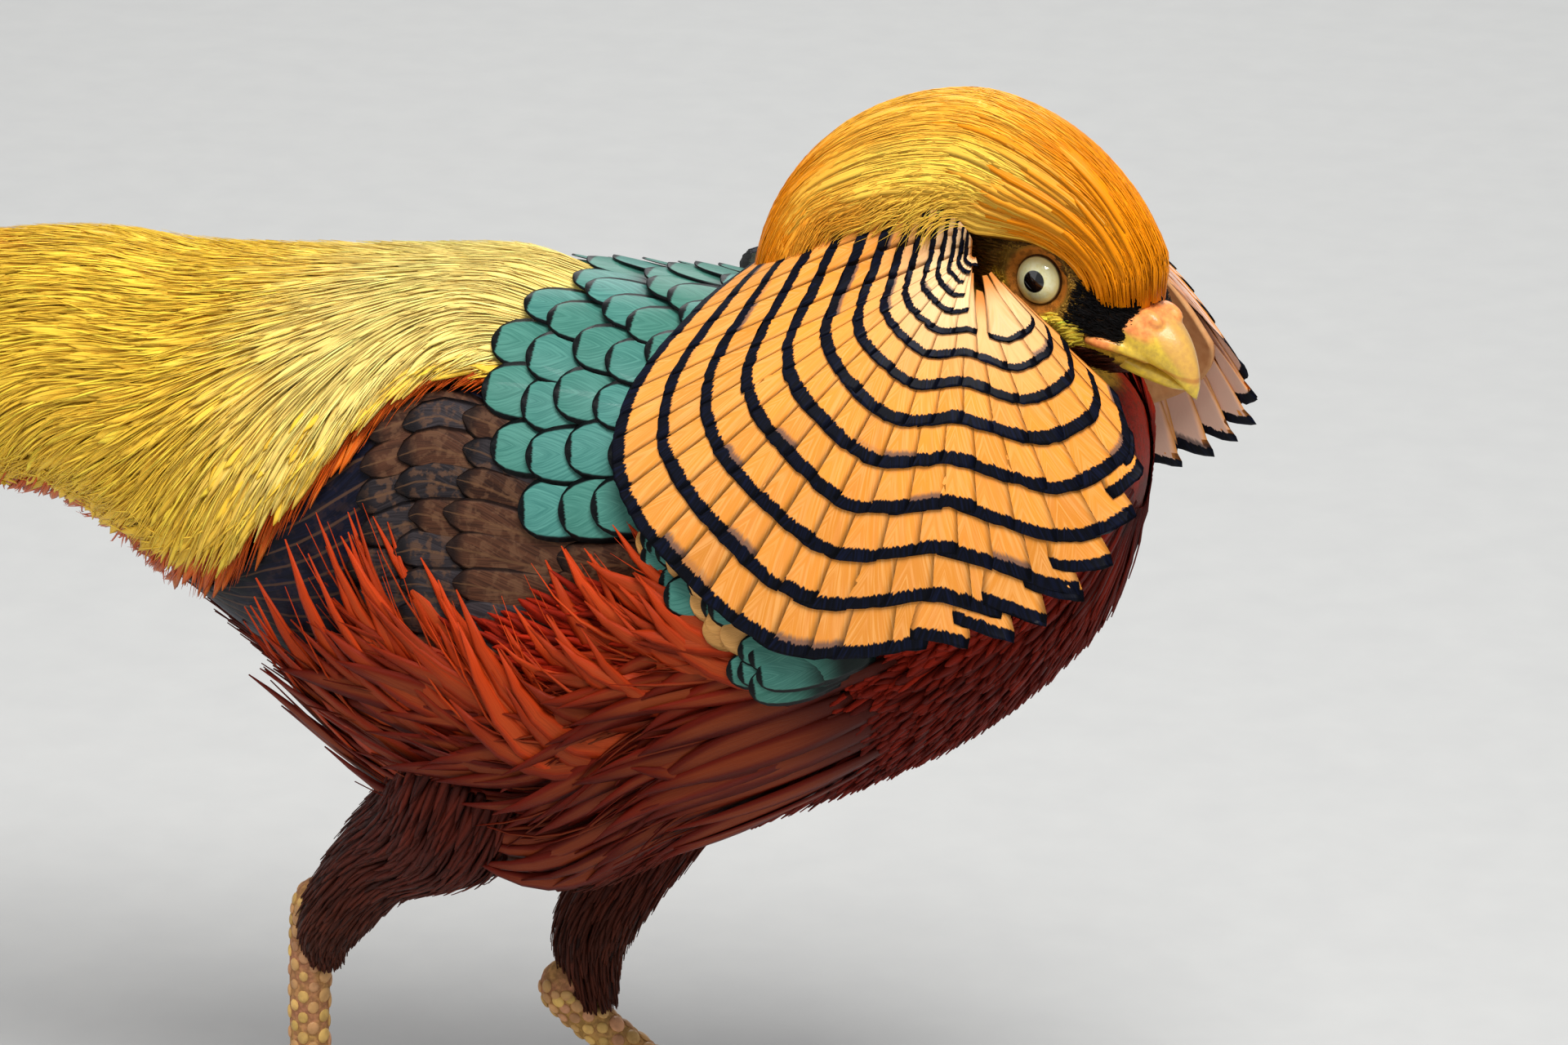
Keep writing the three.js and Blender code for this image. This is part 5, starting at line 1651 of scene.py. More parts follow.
# %% [markdown]
# ## The mantle
# Rounded green feathers with black edges, in rows like roof tiles. Real ones shimmer from green to blue.
# A thin-film shader would do that, but it can't be baked, so this is one mixed teal under a light coat.
# The black edge is drawn from the vane's own coordinates, so it follows every feather's outline.

# %% Finish of the mantle
MANTLE_SIDE = 64  # degrees down the side


def mantle_rear(turn):
    """The x of the mantle's rear edge, furthest back at the sides of the back."""
    return -52 + 16 * ((np.minimum(MANTLE_SIDE, np.abs(turn)) - 33) / 33) ** 2


def green_finish():
    made = Finish("mantle feathers", 0.36, coat=0.08)
    across, reach = made.vane()
    luck = made.attribute("luck")
    barb = made.barbs(across, reach, 0.5, 30, luck)
    teal = made.mix(made.ramp(barb, 0.3, 0.75), srgb(58, 114, 106), srgb(84, 142, 131))
    teal = made.mix(made.times(luck, 0.3), teal, srgb(52, 98, 60))
    teal = made.mix(made.ramp(reach, 0.3, 0.62), srgb(14, 26, 24), teal)
    wavy = made.maths("MULTIPLY_ADD", barb, 0.05, -0.025)
    tip_edge = made.ramp(made.maths("ADD", reach, wavy), 0.93, 0.95)
    side_edge = made.ramp(made.maths("ADD", across, wavy), 0.8, 0.87)
    made.bump(barb, 0.3, 0.00015)
    return made.colour(made.mix(made.maths("MAXIMUM", tip_edge, side_edge), teal, srgb(4, 8, 9)))


mantle_material = green_finish()
print("mantle ends at x", mantle_rear(0.0).round(1), "in the middle of the back")

# %% Mantle feathers
MANTLE_ROWS = 8
ROW_STEP = 8.0  # mm from one row's tips to the next
rng = np.random.default_rng(41)
along = steps_to_tip(12)
mantle_tile = width_at(
    along, (0, 0.6), (0.45, 1.0), (0.7, 0.98), (0.86, 0.82), (0.95, 0.56), (0.985, 0.32), (1, 0.12)
)
rows = []
for row in range(MANTLE_ROWS):
    number = 12 + row % 2
    for k in range(number):
        turn = (MANTLE_SIDE + 3) * (2 * ((k + 0.5) / number) - 1)
        rows.append([mantle_rear(turn) - 1.5 + ROW_STEP * row + rng.uniform(-0.8, 0.8), turn, k % 2])
tip, turn, odd = np.array(rows).T
mantle = blades(
    "mantle_feathers", on_trunk, (tip + 22, tip), (turn * 0.97, turn), (0.2, 3.7 + odd * 0.25),
    rng.uniform(6.3, 7.2, len(tip))[:, None] * mantle_tile,
    along, columns=11, thick=0.2, camber=0.08, roll=rng.uniform(-0.02, 0.04, len(tip)), rng=rng,
)
finish_piece(mantle, mantle_material, "mantle_feathers", "mantle")

# %% [markdown]
# Below the cape's rim a small group of the same green feathers shows, and one in four is buff.

# %% Side mantle
BUFF = srgb(206, 150, 84)
SIDE_COUNT = 46
side_buff = plume_finish("buff side feathers", slant=0.5, lines=30, depth=0.3, root=0.4)
for name, side in SIDES.items():
    rng = np.random.default_rng(43)
    down = 0.9 * rng.random(SIDE_COUNT)
    root_x = 1 + 27 * down + rng.uniform(0, 8, SIDE_COUNT)
    turn = 66 + 34 * down + rng.uniform(-3, 3, SIDE_COUNT)
    is_buff = rng.random(SIDE_COUNT) < 0.25
    for label, chosen, material in (("green", ~is_buff, mantle_material), ("buff", is_buff, side_buff)):
        x, t = root_x[chosen], turn[chosen]
        group = blades(
            f"side_{label}_feathers_{name}", on_trunk, (x, x - 19), (t + 3, t, 1.0, -side),
            (0.5, rng.uniform(5.4, 7.0, len(x)), 0.6), rng.uniform(4.4, 5.4, len(x))[:, None] * mantle_tile,
            along, columns=9, thick=0.2, camber=0.1, roll=rng.uniform(-0.05, 0.08, len(x)),
            colour=varied(BUFF, rng, 0.12, len(x)), rng=rng,
        )
        finish_piece(group, material, "mantle_feathers")

# %% [markdown]
# ## The folded wings
# A folded wing is a stack: rows of mottled brown coverts, then the long blue-black quills that run on
# under the rump. It could be rigged and folded, but a still bird needs only what shows. So the wing is
# a band on the body's side, and its feathers are placed by how far across that band they lie.

# %% Surface of a folded wing
# x, and the turns of the upper and the lower edge, in degrees.
WING = np.array([
    [8, 64, 90], [-24, 56, 92], [-38, 48, 94], [-50, 43, 96], [-62, 41, 99],
    [-76, 50, 105], [-96, 76, 117], [-108, 97, 124], [-120, 122, 130],
])


def wing_surface(side):
    """across runs from the upper edge (-1) to the lower one (1)."""
    def point(x, across, height=0.0):
        upper, lower = (np.interp(-x, -WING[:, 0], WING[:, column]) for column in (1, 2))
        return on_trunk(x, -side * lerp(upper, lower, (across + 1) / 2), height)

    return point


print("wing bend", wing_surface(RIGHT)(8.0, 0.0).round(1))

# %% Finish of the wing
def wing_finish(name, edge_colour, mottling):
    """Barbed feathers with pale mottles, a dark border and a paler shaft."""
    made = Finish(name, 0.4)
    across, reach = made.vane()
    barb = made.barbs(across, reach, 0.45, 30, made.attribute("luck"))
    tint = made.tint()
    mottle = made.noise(420, 4.0)
    colour = made.mix(made.ramp(barb, 0.3, 0.7), made.mix(0.6, tint, srgb(10, 8, 10)), tint)
    spots = made.times(made.ramp(mottle, 0.48, 0.6), mottling)
    colour = made.mix(spots, colour, srgb(108, 76, 54))
    wavy = made.maths("MULTIPLY_ADD", barb, 0.06, -0.03)
    tip_edge = made.ramp(made.maths("ADD", reach, wavy), 0.88, 0.96)
    side_edge = made.ramp(made.maths("ADD", across, wavy), 0.78, 0.9)
    border = made.times(made.maths("MAXIMUM", tip_edge, side_edge), 0.85)
    colour = made.mix(border, colour, edge_colour)
    line = made.times(made.fall(across, 0.03, 0.08), 0.4)
    colour = made.mix(line, colour, srgb(110, 78, 52))
    made.bump(barb, 0.5, 0.0002)
    return made.colour(colour)


covert_material = wing_finish("wing coverts", srgb(12, 10, 12), 0.45)
quill_material = wing_finish("wing quills", srgb(6, 6, 12), 0.08)

# %% Wing coverts
# Each row: x of the roots, x of the tips, number of feathers.
COVERT_ROWS = [(2, -34, 8), (-8, -45, 8), (-19, -56, 9), (-30, -66, 9), (-42, -76, 8)]
DARK_COVERT = srgb(56, 50, 52)
along = steps_to_tip(11)
covert_tile = width_at(along, (0, 0.6), (0.45, 1.0), (0.72, 0.97), (0.88, 0.78), (0.96, 0.5), (1, 0.12))


def wing_coverts(name, side, rng):
    rows = []
    for tier, (root, tip, number) in enumerate(COVERT_ROWS):
        for k in range(number):
            across = 2 * ((k + 0.5 + 0.25 * (tier % 2)) / number) - 1
            rows.append([root, tip + rng.uniform(-2, 2), across, rng.uniform(4.6, 5.6), k % 2])
    root, tip, across, half, odd = np.array(rows).T
    shade = np.where(rng.random(len(tip))[:, None] < 0.3, DARK_COVERT, WING_BROWN)
    # The rows ahead lie lower, because the mantle covers them.
    rise = lerp(1.4, 3.2, smooth(-tip, 44, 58)) + 0.2 * odd
    coverts = blades(
        "wing_coverts_" + name, wing_surface(side), (root, tip), (across, across), (-0.5, rise, 0.8),
        half[:, None] * covert_tile, along, columns=9, thick=0.25, camber=0.06, roll=0.04 * side,
        colour=varied(shade, rng, 0.18), rng=rng,
    )
    finish_piece(coverts, covert_material, "wing_feathers", "wing_" + name)


print("coverts on each wing:", sum(number for _, _, number in COVERT_ROWS))

# %% Quills, and both wings
QUILLS = 10
quill = width_at(along, (0, 0.5), (0.3, 1.0), (0.8, 0.9), (0.95, 0.5), (1, 0.12))


def wing_quills(name, side, rng):
    order = np.arange(QUILLS) / (QUILLS - 1)
    tip = -90 - 30 * order + rng.uniform(-1, 1, QUILLS)
    quills = blades(
        "wing_quills_" + name, wing_surface(side), (-40.0, tip),
        (lerp(-0.9, 0.75, order), lerp(-0.95, 0.95, order)), (-0.3, 1.4 + 1.4 * (1 - order), 0.8),
        5.6 * quill, along, columns=9, thick=0.3, camber=0.06, roll=0.05 * side,
        colour=varied(QUILL_BLUE, rng, 0.2, QUILLS), rng=rng,
    )
    finish_piece(quills, quill_material, "wing_feathers")


for name, side in SIDES.items():
    rng = np.random.default_rng(51)
    wing_coverts(name, side, rng)
    wing_quills(name, side, rng)

# %% [markdown]
# ## The rump
# Golden hair-like plumes flow back and down on both sides and end in a fringe. Combed at random they
# would look like straw. Real plumes cling together, so each tip is drawn towards the middle of its
# clump. As on the crest, broad streaked locks make the ground and thin strands the surface.

# %% Surface of the rump
RUMP_REAR = -196
# x, and the turn of the lower edge, in degrees.
RUMP_SIDE = np.array([
    [-30, 42], [-38, 41], [-50, 38], [-62, 35], [-76, 46],
    [-96, 77], [-108, 95], [-122, 119], [-142, 140], [RUMP_REAR, 150],
])


def rump_edge(x):
    """The lower edge, averaged over a short run so that its corners go."""
    near = [np.interp(-x + step, -RUMP_SIDE[:, 0], RUMP_SIDE[:, 1]) for step in range(-18, 19, 6)]
    return sum(near) / len(near) - 5 * (1 - smooth(np.abs(x + 60), 4, 30))


def on_rump(share, across, height=0.0):
    """share runs from the mantle (0) to the rear (1), across from one lower edge to the other."""
    share, across, height = np.broadcast_arrays(share, across, height)
    x = lerp(mantle_rear(40 * np.clip(across, -1, 1)) + 1.5, RUMP_REAR, share)
    # The plumes come out from under the mantle.
    return on_sleeve(x, across * rump_edge(x), height * smooth(share, -0.05, 0.1))


def rump_tint(share, across):
    """Pale gold ahead, gold behind, orange at the rear near the middle."""
    fringe = smooth(across, 0.78, 1.0)
    colour = mixed(GOLD, PALE_GOLD, smooth(0.4 - share, 0, 0.3) * (1 - fringe))
    return mixed(colour, FRINGE_ORANGE, 0.9 * smooth(share, 0.66, 0.85) * (1 - smooth(across, 0.1, 0.4)))


print("rump edge at x = -62:", rump_edge(-62.0).round(1), "degrees")

# %% Down and finishes of the rump
rump_down = down_finish("down under the rump", srgb(226, 158, 44), srgb(252, 206, 90))
# The two colours are the painted shade and the painted sheen of the rump's locks.
rump_silk = silk_finish("silky rump locks", srgb(222, 150, 26), srgb(255, 236, 130))
rump_finish = plume_finish("rump plumes", slant=0.0, lines=3, depth=0.15, roughness=0.4, root=0.85)
rump_core = sheet(
    "rump_core", on_rump, 60, 40, 1.0, 4.0, lambda u, v: (lerp(0.03, 0.97, v), (2 * u - 1) * 0.96),
)
finish_piece(rump_core, rump_down, "rump_feathers")

# %% A layer of plumes
CLUMPS = 260
UNDER_RED = FRINGE_ORANGE * [0.9, 0.7, 0.6]


def rump_layer(name, side, rng, count, half, outline, along, low, high, material, **blade):
    """half is the range of half widths, low and high how far roots and tips stand off the body."""
    clumps = np.stack([rng.uniform(-0.05, 0.9, CLUMPS), rng.uniform(-0.05, 1.0, CLUMPS)], -1)
    root, across = rng.uniform(-0.05, 0.86, count), rng.uniform(-0.05, 1.0, count)
    ahead, beside = root[:, None] - clumps[:, 0], across[:, None] - clumps[:, 1]
    centre = clumps[np.argmin((ahead * 1.2) ** 2 + beside**2, axis=1)]
    length = rng.uniform(0.12, 0.22, count)
    under = rng.random(count) < 0.55 * smooth(across, 0.62, 0.92)
    low_down = smooth(across, 0.35, 0.95)
    drift = (0.04 + 0.3 * low_down) * length / 0.18 + rng.normal(0, 0.025, count)
    length = length * lerp(0.85, 0.42, low_down)
    pull = 0.25 + 0.35 * smooth(across, 0.6, 0.95)
    tip = root + length + (centre[:, 0] - root) * pull
    tip_across = across + drift + (centre[:, 1] - across) * pull
    red = rng.random(count) < 0.5 * smooth(across, 0.74, 0.95) * smooth(root, 0.4, 0.7)
    colour = mixed(rump_tint(root, across), UNDER_RED, np.maximum(under, red) * 0.95)
    depth = np.where(under, rng.uniform(-2.2, -1.0, count), rng.uniform(-0.4, 0.5, count))
    tip_across = tip_across + 0.06 * under
    # Low down at the rear the gold ends above the red.
    gold_end = lerp(1.08, 0.9, smooth(root, 0.3, 0.5))
    limit = np.where(under | red, 1.15, gold_end) + rng.uniform(-0.07, 0.05, count)
    layer = blades(
        name, on_rump, (root, np.minimum(tip, 1.02)), (across, np.minimum(tip_across, limit), 1.3, -side),
        depth[:, None] + lerp(low, high, along**0.7)[None], rng.uniform(*half, count)[:, None] * outline,
        along, camber=0.06, colour=varied(colour, rng, 0.09), rng=rng, **blade,
    )
    nodes = ["back_and_rump"] if name == "rump_locks_right" else []
    finish_piece(layer, material, "rump_feathers", *nodes)


print("clumps on each side:", CLUMPS)

# %% Locks and plumes of the rump
lock_steps = np.linspace(0, 1, 9)
rump_lock = width_at(lock_steps, (0, 0.6), (0.35, 1.0), (0.7, 0.75), (0.92, 0.35), (1, 0.06))
plume_steps = np.linspace(0, 1, 5)
rump_plume = width_at(plume_steps, (0, 0.6), (0.35, 1.0), (0.75, 0.7), (1, 0.1))
for name, side in SIDES.items():
    rng = np.random.default_rng(61)
    rump_layer(
        "rump_locks_" + name, side, rng, 950, (1.2, 2.2), rump_lock, lock_steps, 2.6, 5.4,
        rump_silk, columns=5, thick=0.22,
    )
    rump_layer(
        "rump_plumes_" + name, side, rng, 4600, (0.16, 0.42), rump_plume, plume_steps, 3.6, 5.9,
        rump_finish, columns=3, thick=0.05,
    )

# %% [markdown]
# Along the lower rim broader tufts hang over the wing and the thigh: gold ones over longer orange-red
# and dark ones. Without them the rim would be a line, as if cut with scissors.

# %% Hanging tufts
TUFTS = 340
tuft_steps = np.linspace(0, 1, 8)
tuft = width_at(tuft_steps, (0, 0.5), (0.4, 1.0), (0.7, 0.8), (0.9, 0.4), (1, 0.05))
for name, side in SIDES.items():
    rng = np.random.default_rng(65)
    root = rng.uniform(0.2, 0.97, TUFTS)
    kind = rng.random(TUFTS)  # the upper half of the numbers are deep red tufts, the last ones maroon
    deep = kind > 0.5
    start = rng.uniform(0.74, 0.92, TUFTS) + 0.06 * deep
    low_down = smooth(root, 0.3, 0.6)
    drop = rng.uniform(0.1, 0.22, TUFTS) * lerp(0.5, 1, low_down) + 0.06 * deep * low_down
    colour = mixed(GOLD, FRINGE_ORANGE * [0.9, 0.6, 0.5], 0.95 * deep)
    colour = mixed(colour, MAROON, 0.8 * (kind > 0.85))
    tufts = blades(
        "rump_tufts_" + name, on_rump, (root, root + rng.uniform(0.02, 0.08, TUFTS)),
        (start, np.minimum(start + drop, np.where(deep, 1.2, 1.0)), 1.2, -side),
        (3.2, rng.uniform(4.4, 6.0, TUFTS) - 2.2 * deep, 0.7), rng.uniform(0.9, 1.9, TUFTS)[:, None] * tuft,
        tuft_steps, columns=5, thick=0.2, camber=0.06, colour=varied(colour, rng, 0.12), rng=rng,
    )
    finish_piece(tufts, rump_silk, "rump_feathers")

# %% [markdown]
# Behind the rump the plumes thin out over the red tail coverts, so neither ends in a step.

# %% Last plumes of the rump
# Each kind: name, number, range of half widths, finish, columns.
LAST_PLUMES = [("locks", 150, (1.2, 2.4), rump_silk, 5), ("plumes", 800, (0.25, 0.5), rump_finish, 3)]
for name, side in SIDES.items():
    rng = np.random.default_rng(63)
    for label, count, half, material, columns in LAST_PLUMES:
        root = rng.uniform(-197, -160, count)
        turn = rng.uniform(0, 150, count)
        tip = root - rng.uniform(24, 52, count) * lerp(1, 0.6, turn / 150)
        colour = mixed(GOLD, FRINGE_ORANGE, smooth(-tip, 205, 236))
        last = blades(
            f"rump_end_{label}_{name}", on_sleeve, (root, tip),
            (turn, turn + rng.normal(0, 4, count), 1.0, -side),
            (rng.uniform(3.2, 5.6, count), rng.uniform(0.6, 2.6, count), 0.8),
            rng.uniform(*half, count)[:, None] * rump_plume,
            plume_steps, columns=columns, thick=0.2, camber=0.06, colour=varied(colour, rng, 0.1), rng=rng,
        )
        finish_piece(last, material, "rump_feathers")

# %% [markdown]
# ## The flanks
# Long orange-red lances with tan middles. The upper ones curl up over the wing's lower edge, the lower
# ones lie back along the belly. The tips are placed first, because they are what the eye sees, and each
# root is found from its tip. A strong power keeps most of the curl near the root.

# %% Finish of the lances
def lance_finish():
    made = Finish("flank lances", 0.42)
    across, reach = made.vane()
    barb = made.barbs(across, reach, 0.8, 30, made.attribute("luck"))
    middle = made.times(made.fall(across, 0.25, 0.65), made.fall(reach, 0.7, 0.95))
    colour = made.mix(made.times(middle, 0.45), made.tint(), srgb(156, 76, 36))
    colour = made.mix(made.ramp(barb, 0.25, 0.7), made.mix(0.4, colour, srgb(90, 14, 2)), colour)
    colour = made.mix(made.ramp(reach, 0.05, 0.5), srgb(70, 18, 8), colour)
    made.bump(barb, 0.5, 0.0002)
    return made.colour(colour)


lance_material = lance_finish()
print(lance_material.name, "has", len(lance_material.node_tree.nodes), "nodes")

# %% Flanks
LANCE_RED = srgb(206, 66, 18)
FLANK_LOW = 142  # degrees, the lowest tips
# Each kind: name, number, half widths, heights of the tips, columns.
FLANK_KINDS = [("lances", 230, (2.2, 4.2), (3.2, 7.0), 5), ("hairs", 160, (0.35, 0.8), (3.4, 6.4), 3)]
along = np.linspace(0, 1, 10)
lance = width_at(along, (0, 0.5), (0.35, 1.0), (0.6, 0.9), (0.85, 0.45), (1, 0.04))


def flank(name, side, label, count, halves, rises, columns):
    rng = np.random.default_rng(71 + count)
    level = rng.uniform(0, 1, count) ** 1.15  # 0 at the upper edge, 1 at the belly
    tip_x = -14 - 87 * rng.random(count) ** 1.6
    tip_turn = lerp(side_top(tip_x), FLANK_LOW, level)
    climb = lerp(30, -6, smooth(level, 0, 0.55)) * lerp(0.7, 1.0, smooth(-tip_x, 20, 60))
    climb = climb + rng.normal(0, 5, count)
    root_x = tip_x + rng.uniform(34, 50, count)
    # Painted shade: the lances darken from orange-red to a darker red towards the belly.
    lances = blades(
        f"flank_{label}_{name}", on_trunk, (root_x, tip_x), (tip_turn + climb, tip_turn, 3.0, -side),
        (0.2, rng.uniform(*rises, count), 0.8), rng.uniform(*halves, count)[:, None] * lance,
        along, columns=columns, thick=0.25, camber=0.12, roll=rng.normal(0, 0.2, count),
        colour=varied(mixed(LANCE_RED, SHADED_RED, 0.97 * smooth(level, -0.05, 0.5)), rng, 0.16), rng=rng,
    )
    nodes = ["flank_" + name] if label == "lances" else []
    finish_piece(lances, lance_material, "flank_feathers", *nodes)


for name, side in SIDES.items():
    for kind in FLANK_KINDS:
        flank(name, side, *kind)

# %% [markdown]
# ## The tail and its coverts
# Narrow scarlet coverts lie along both sides of the tail's root. Laid at equal steps round the sleeve
# they would look like a fence, so each takes a length by lot, and no two neighbours end together.

# %% Tail coverts
COVERTS = 44  # on each side
COVERT_RED = srgb(206, 62, 18)
COVERT_BROWN = srgb(150, 60, 26)
covert_finish = plume_finish("tail coverts", slant=0.5, lines=60, depth=0.45, shaft=0.08)
along = np.linspace(0, 1, 16)
spear = width_at(along, (0, 0.5), (0.3, 1.0), (0.7, 0.8), (0.92, 0.4), (1, 0.05))
for name, side in SIDES.items():
    rng = np.random.default_rng(81)
    turn = lerp(10, 126, (np.arange(COVERTS) + 0.5) / COVERTS) + rng.normal(0, 2, COVERTS)
    end = lerp(-345, -225, rng.permutation(COVERTS) / (COVERTS - 1))
    colour = mixed(COVERT_RED, COVERT_BROWN, smooth(turn, 90, 126))
    coverts = blades(
        "tail_covert_feathers_" + name, on_sleeve, (-166.0, end),
        (turn, turn + rng.normal(0, 3, COVERTS), 1.0, -side),
        (rng.uniform(-4.5, -3, COVERTS), rng.uniform(-0.5, 1.8, COVERTS)),
        rng.uniform(3.4, 5.4, COVERTS)[:, None] * spear,
        along, columns=5, thick=0.5, camber=0.15, colour=varied(colour, rng, 0.15), rng=rng,
    )
    finish_piece(coverts, covert_finish, "covert_feathers", "tail_coverts_" + name)

# %% [markdown]
# The tail is a steep roof of eighteen feathers. The middle pair is netted with buff on brown, the
# others are barred. A net is what cells look like when only their borders are drawn, and bars are a
# wave. Both are reckoned in millimetres from the root, so each feather brings its length with it.

# %% Finish of the tail feathers
BARS_APART = 11  # mm


def tail_finish(name, netted):
    made = Finish(name, 0.45)
    across, reach = made.vane()
    luck = made.attribute("luck")
    run = made.times(reach, made.attribute("length"))
    barb = made.barbs(across, run, 12, 0.9, luck)
    streak = made.ramp(barb, 0.3, 0.7)
    buff = made.mix(streak, srgb(186, 142, 84), srgb(150, 104, 58))
    dark = made.mix(streak, srgb(34, 26, 22), srgb(58, 42, 32))
    if netted:
        place = made.vector(made.times(run, 0.16), made.times(across, 2.6), luck)
        inputs = {"Vector": place, "Scale": 1.0, "Randomness": 0.7}
        cells = made.node("TexVoronoi", inputs, feature="DISTANCE_TO_EDGE")
        marks = made.ramp(cells.outputs["Distance"], 0.07, 0.13)
    else:
        wave = made.noise(0.5, 2.0, made.vector(run, across, luck))
        slant = made.maths("MULTIPLY_ADD", across, 9.0, made.times(wave, 8.0))
        slope = made.maths("ADD", run, slant)
        marks = made.ramp(made.maths("SINE", made.times(slope, 2 * math.pi / BARS_APART)), -0.2, 0.2)
    colour = made.mix(marks, dark, buff)
    colour = made.mix(made.fall(across, 0.03, 0.06), colour, srgb(92, 62, 38))
    made.bump(barb, 0.4, 0.0002)
    return made.colour(colour)


print("bars every", BARS_APART, "mm")

# %% Tail feathers
# The length of each pair as a share of the tail, from the middle pair outwards.
TAIL_PAIRS = [1, 0.8, 0.63, 0.5, 0.41, 0.34, 0.29, 0.25, 0.22]
TAIL_COLUMNS = 9
along = np.linspace(0, 1, 56)
rng = np.random.default_rng(91)
vane_outline = width_at(along, (0, 0.5), (0.2, 0.9), (0.5, 1.0), (0.85, 0.95), (0.97, 0.6), (1, 0.15))


def tail_feathers(label, rows, netted, *nodes):
    """rows holds the length, the middle's place across, the depth and the half width of each."""
    length, centre, depth, half = np.array(rows).T
    away = strokes(6.0, length, along)
    feathers = blades(
        f"tail_{label}_feathers", on_tail, away, centre[:, None], 0.5 - depth[:, None],
        half[:, None] * tail_width(away) * vane_outline,
        along, columns=TAIL_COLUMNS, thick=0.5, camber=0.0, rng=rng,
    )
    add_number(feathers.data, "length", np.repeat(length, TAIL_COLUMNS * len(along)))
    finish_piece(feathers, tail_finish(label + " tail feathers", netted), "tail_feathers", *nodes)


# One feather of each pair is 6 mm shorter than the other.
middle, outer = [], []
for pair, share in enumerate(TAIL_PAIRS):
    for side in SIDES.values():
        length = TAIL_LENGTH * share - (6 if side == LEFT else 0)
        if pair == 0:
            middle.append([length, 0, 2.3 - side * 0.7, 0.9])
        else:
            outer.append([length, 0.5 * side, 3.9 + 1.3 * pair, 0.46])
tail_feathers("middle", middle, True, "tail")
tail_feathers("outer", outer, False)

# %% [markdown]
# ## Legs and feet
# Bare shanks with plate-like scales, a short spur behind, three toes forward and one back, each with a
# claw. The soft skin is lofts, remeshed so that toes and pad grow together. Scutes could be a bump, but
# their edges catch the light, so they are real plates from the same node tree as the beads.

# %% Finishes of the leg
def leg_finish():
    """The soft skin between the scutes."""
    made = Finish("skin of the leg", 0.6)
    grain = made.noise(900, 4.0)
    patches = made.noise(90, 4.0)
    colour = made.mix(made.ramp(patches, 0.35, 0.65), srgb(188, 146, 80), srgb(178, 118, 88))
    colour = made.mix(made.ramp(grain, 0.4, 0.65), made.mix(0.5, colour, srgb(96, 66, 40)), colour)
    made.bump(grain, 0.5, 0.0003)
    return made.colour(colour)


def scute_finish():
    made = Finish("scutes", 0.4, coat=0.1)
    tint = made.tint()
    worn = made.mix(0.35, tint, srgb(120, 84, 50))
    made.bump(made.noise(1800, 2.0), 0.2, 0.0002)
    return made.colour(made.mix(made.ramp(made.noise(500, 3.0), 0.35, 0.7), tint, worn))


def claw_finish():
    made = Finish("claws", 0.3, coat=0.3)
    return made.colour(made.mix(made.noise(600, 3.0), srgb(70, 52, 38), srgb(120, 96, 70)))


leg_material, scute_material, claw_material = leg_finish(), scute_finish(), claw_finish()
print("leg finishes ready")

# %% Rows of scutes
# Each row: turn round the limb, half length, half width, shift along by a share of a step.
SHANK_ROWS = [
    (70, 1.75, 1.75, 0.0), (112, 1.75, 1.75, 0.5), (32, 1.5, 1.3, 0.5), (150, 1.5, 1.3, 0.0),
    (2, 1.4, 1.2, 0.0), (180, 1.4, 1.2, 0.5), (-30, 1.4, 1.2, 0.5), (210, 1.4, 1.2, 0.0),
    (-64, 1.5, 1.5, 0.0), (244, 1.5, 1.5, 0.5),
]
TOE_ROWS = [(0, 1.3, 2.6, 0.0), (68, 1.2, 0.9, 0.5), (-68, 1.2, 0.9, 0.5)]
SCUTE_THICK = 0.55


def scute_rows(surface, low, high, count, rows):
    """Places, directions and sizes of the scutes along a limb, between two shares of its length."""
    points, out, lie, size = [], [], [], []
    for turn, long_, wide, shift in rows:
        u = lerp(low, high, (np.arange(count) + 0.5 + shift) / count)
        at = surface(u, turn, 0.0)
        points.append(at)
        out.append(unit(surface(u, turn, 1.0) - at))
        lie.append(unit(surface(u + 0.01, turn, 0.0) - at))
        size.append(np.broadcast_to([long_, wide, SCUTE_THICK], (count, 3)))
    return [np.concatenate(part) for part in (points, out, lie, size)]


print("rows round a shank:", len(SHANK_ROWS))

# %% Shank and spur
SPUR_AT = 0.68  # share of the way from heel to foot


def shank_surface(heel, foot):
    hx, hy, hz = heel
    fx, fy = foot
    path = [
        [hx + 7, hy, hz - 1], [hx + 3.5, hy, hz - 7], [(hx + fx) / 2, (hy + fy) / 2, hz / 2],
        [fx, fy, 12], [fx + 1, fy, 5.5],
    ]
    return limb_surface(path, [3.4, 4.8, 4.6, 4.2, 4.2, 4.2, 5, 5.4], (0, 1, 0))


def spur_loft(heel, foot):
    hx, hy, hz = heel
    fx, fy = foot
    x, y, z = lerp(hx, fx, SPUR_AT), lerp(hy, fy, SPUR_AT), hz * (1 - SPUR_AT)
    path = [[x, y, z], [x - 7, y, z + 0.5], [x - 12, y, z + 3]]
    return loft("spur", round_rings(limb_surface(path, [3.2, 1.9, 0.5], (0, 0, 1)), 20, 16))


print("right shank ends at", shank_surface([-101, -19, 80], [-97, -20])(1.0, 0).round(1))

# %% Toes, claws and pad
# Each toe: the way it points in degrees, and its length.
TOES = [[-26, 33], [0, 42], [26, 34], [180, 15]]
TOE_GIRTH = [4, 4.4, 3.7, 3.6, 3.2, 2.6]
CLAW_GIRTH = [2.2, 1.6, 0.4]
PAD = (6.2, 6.2, 4.2)


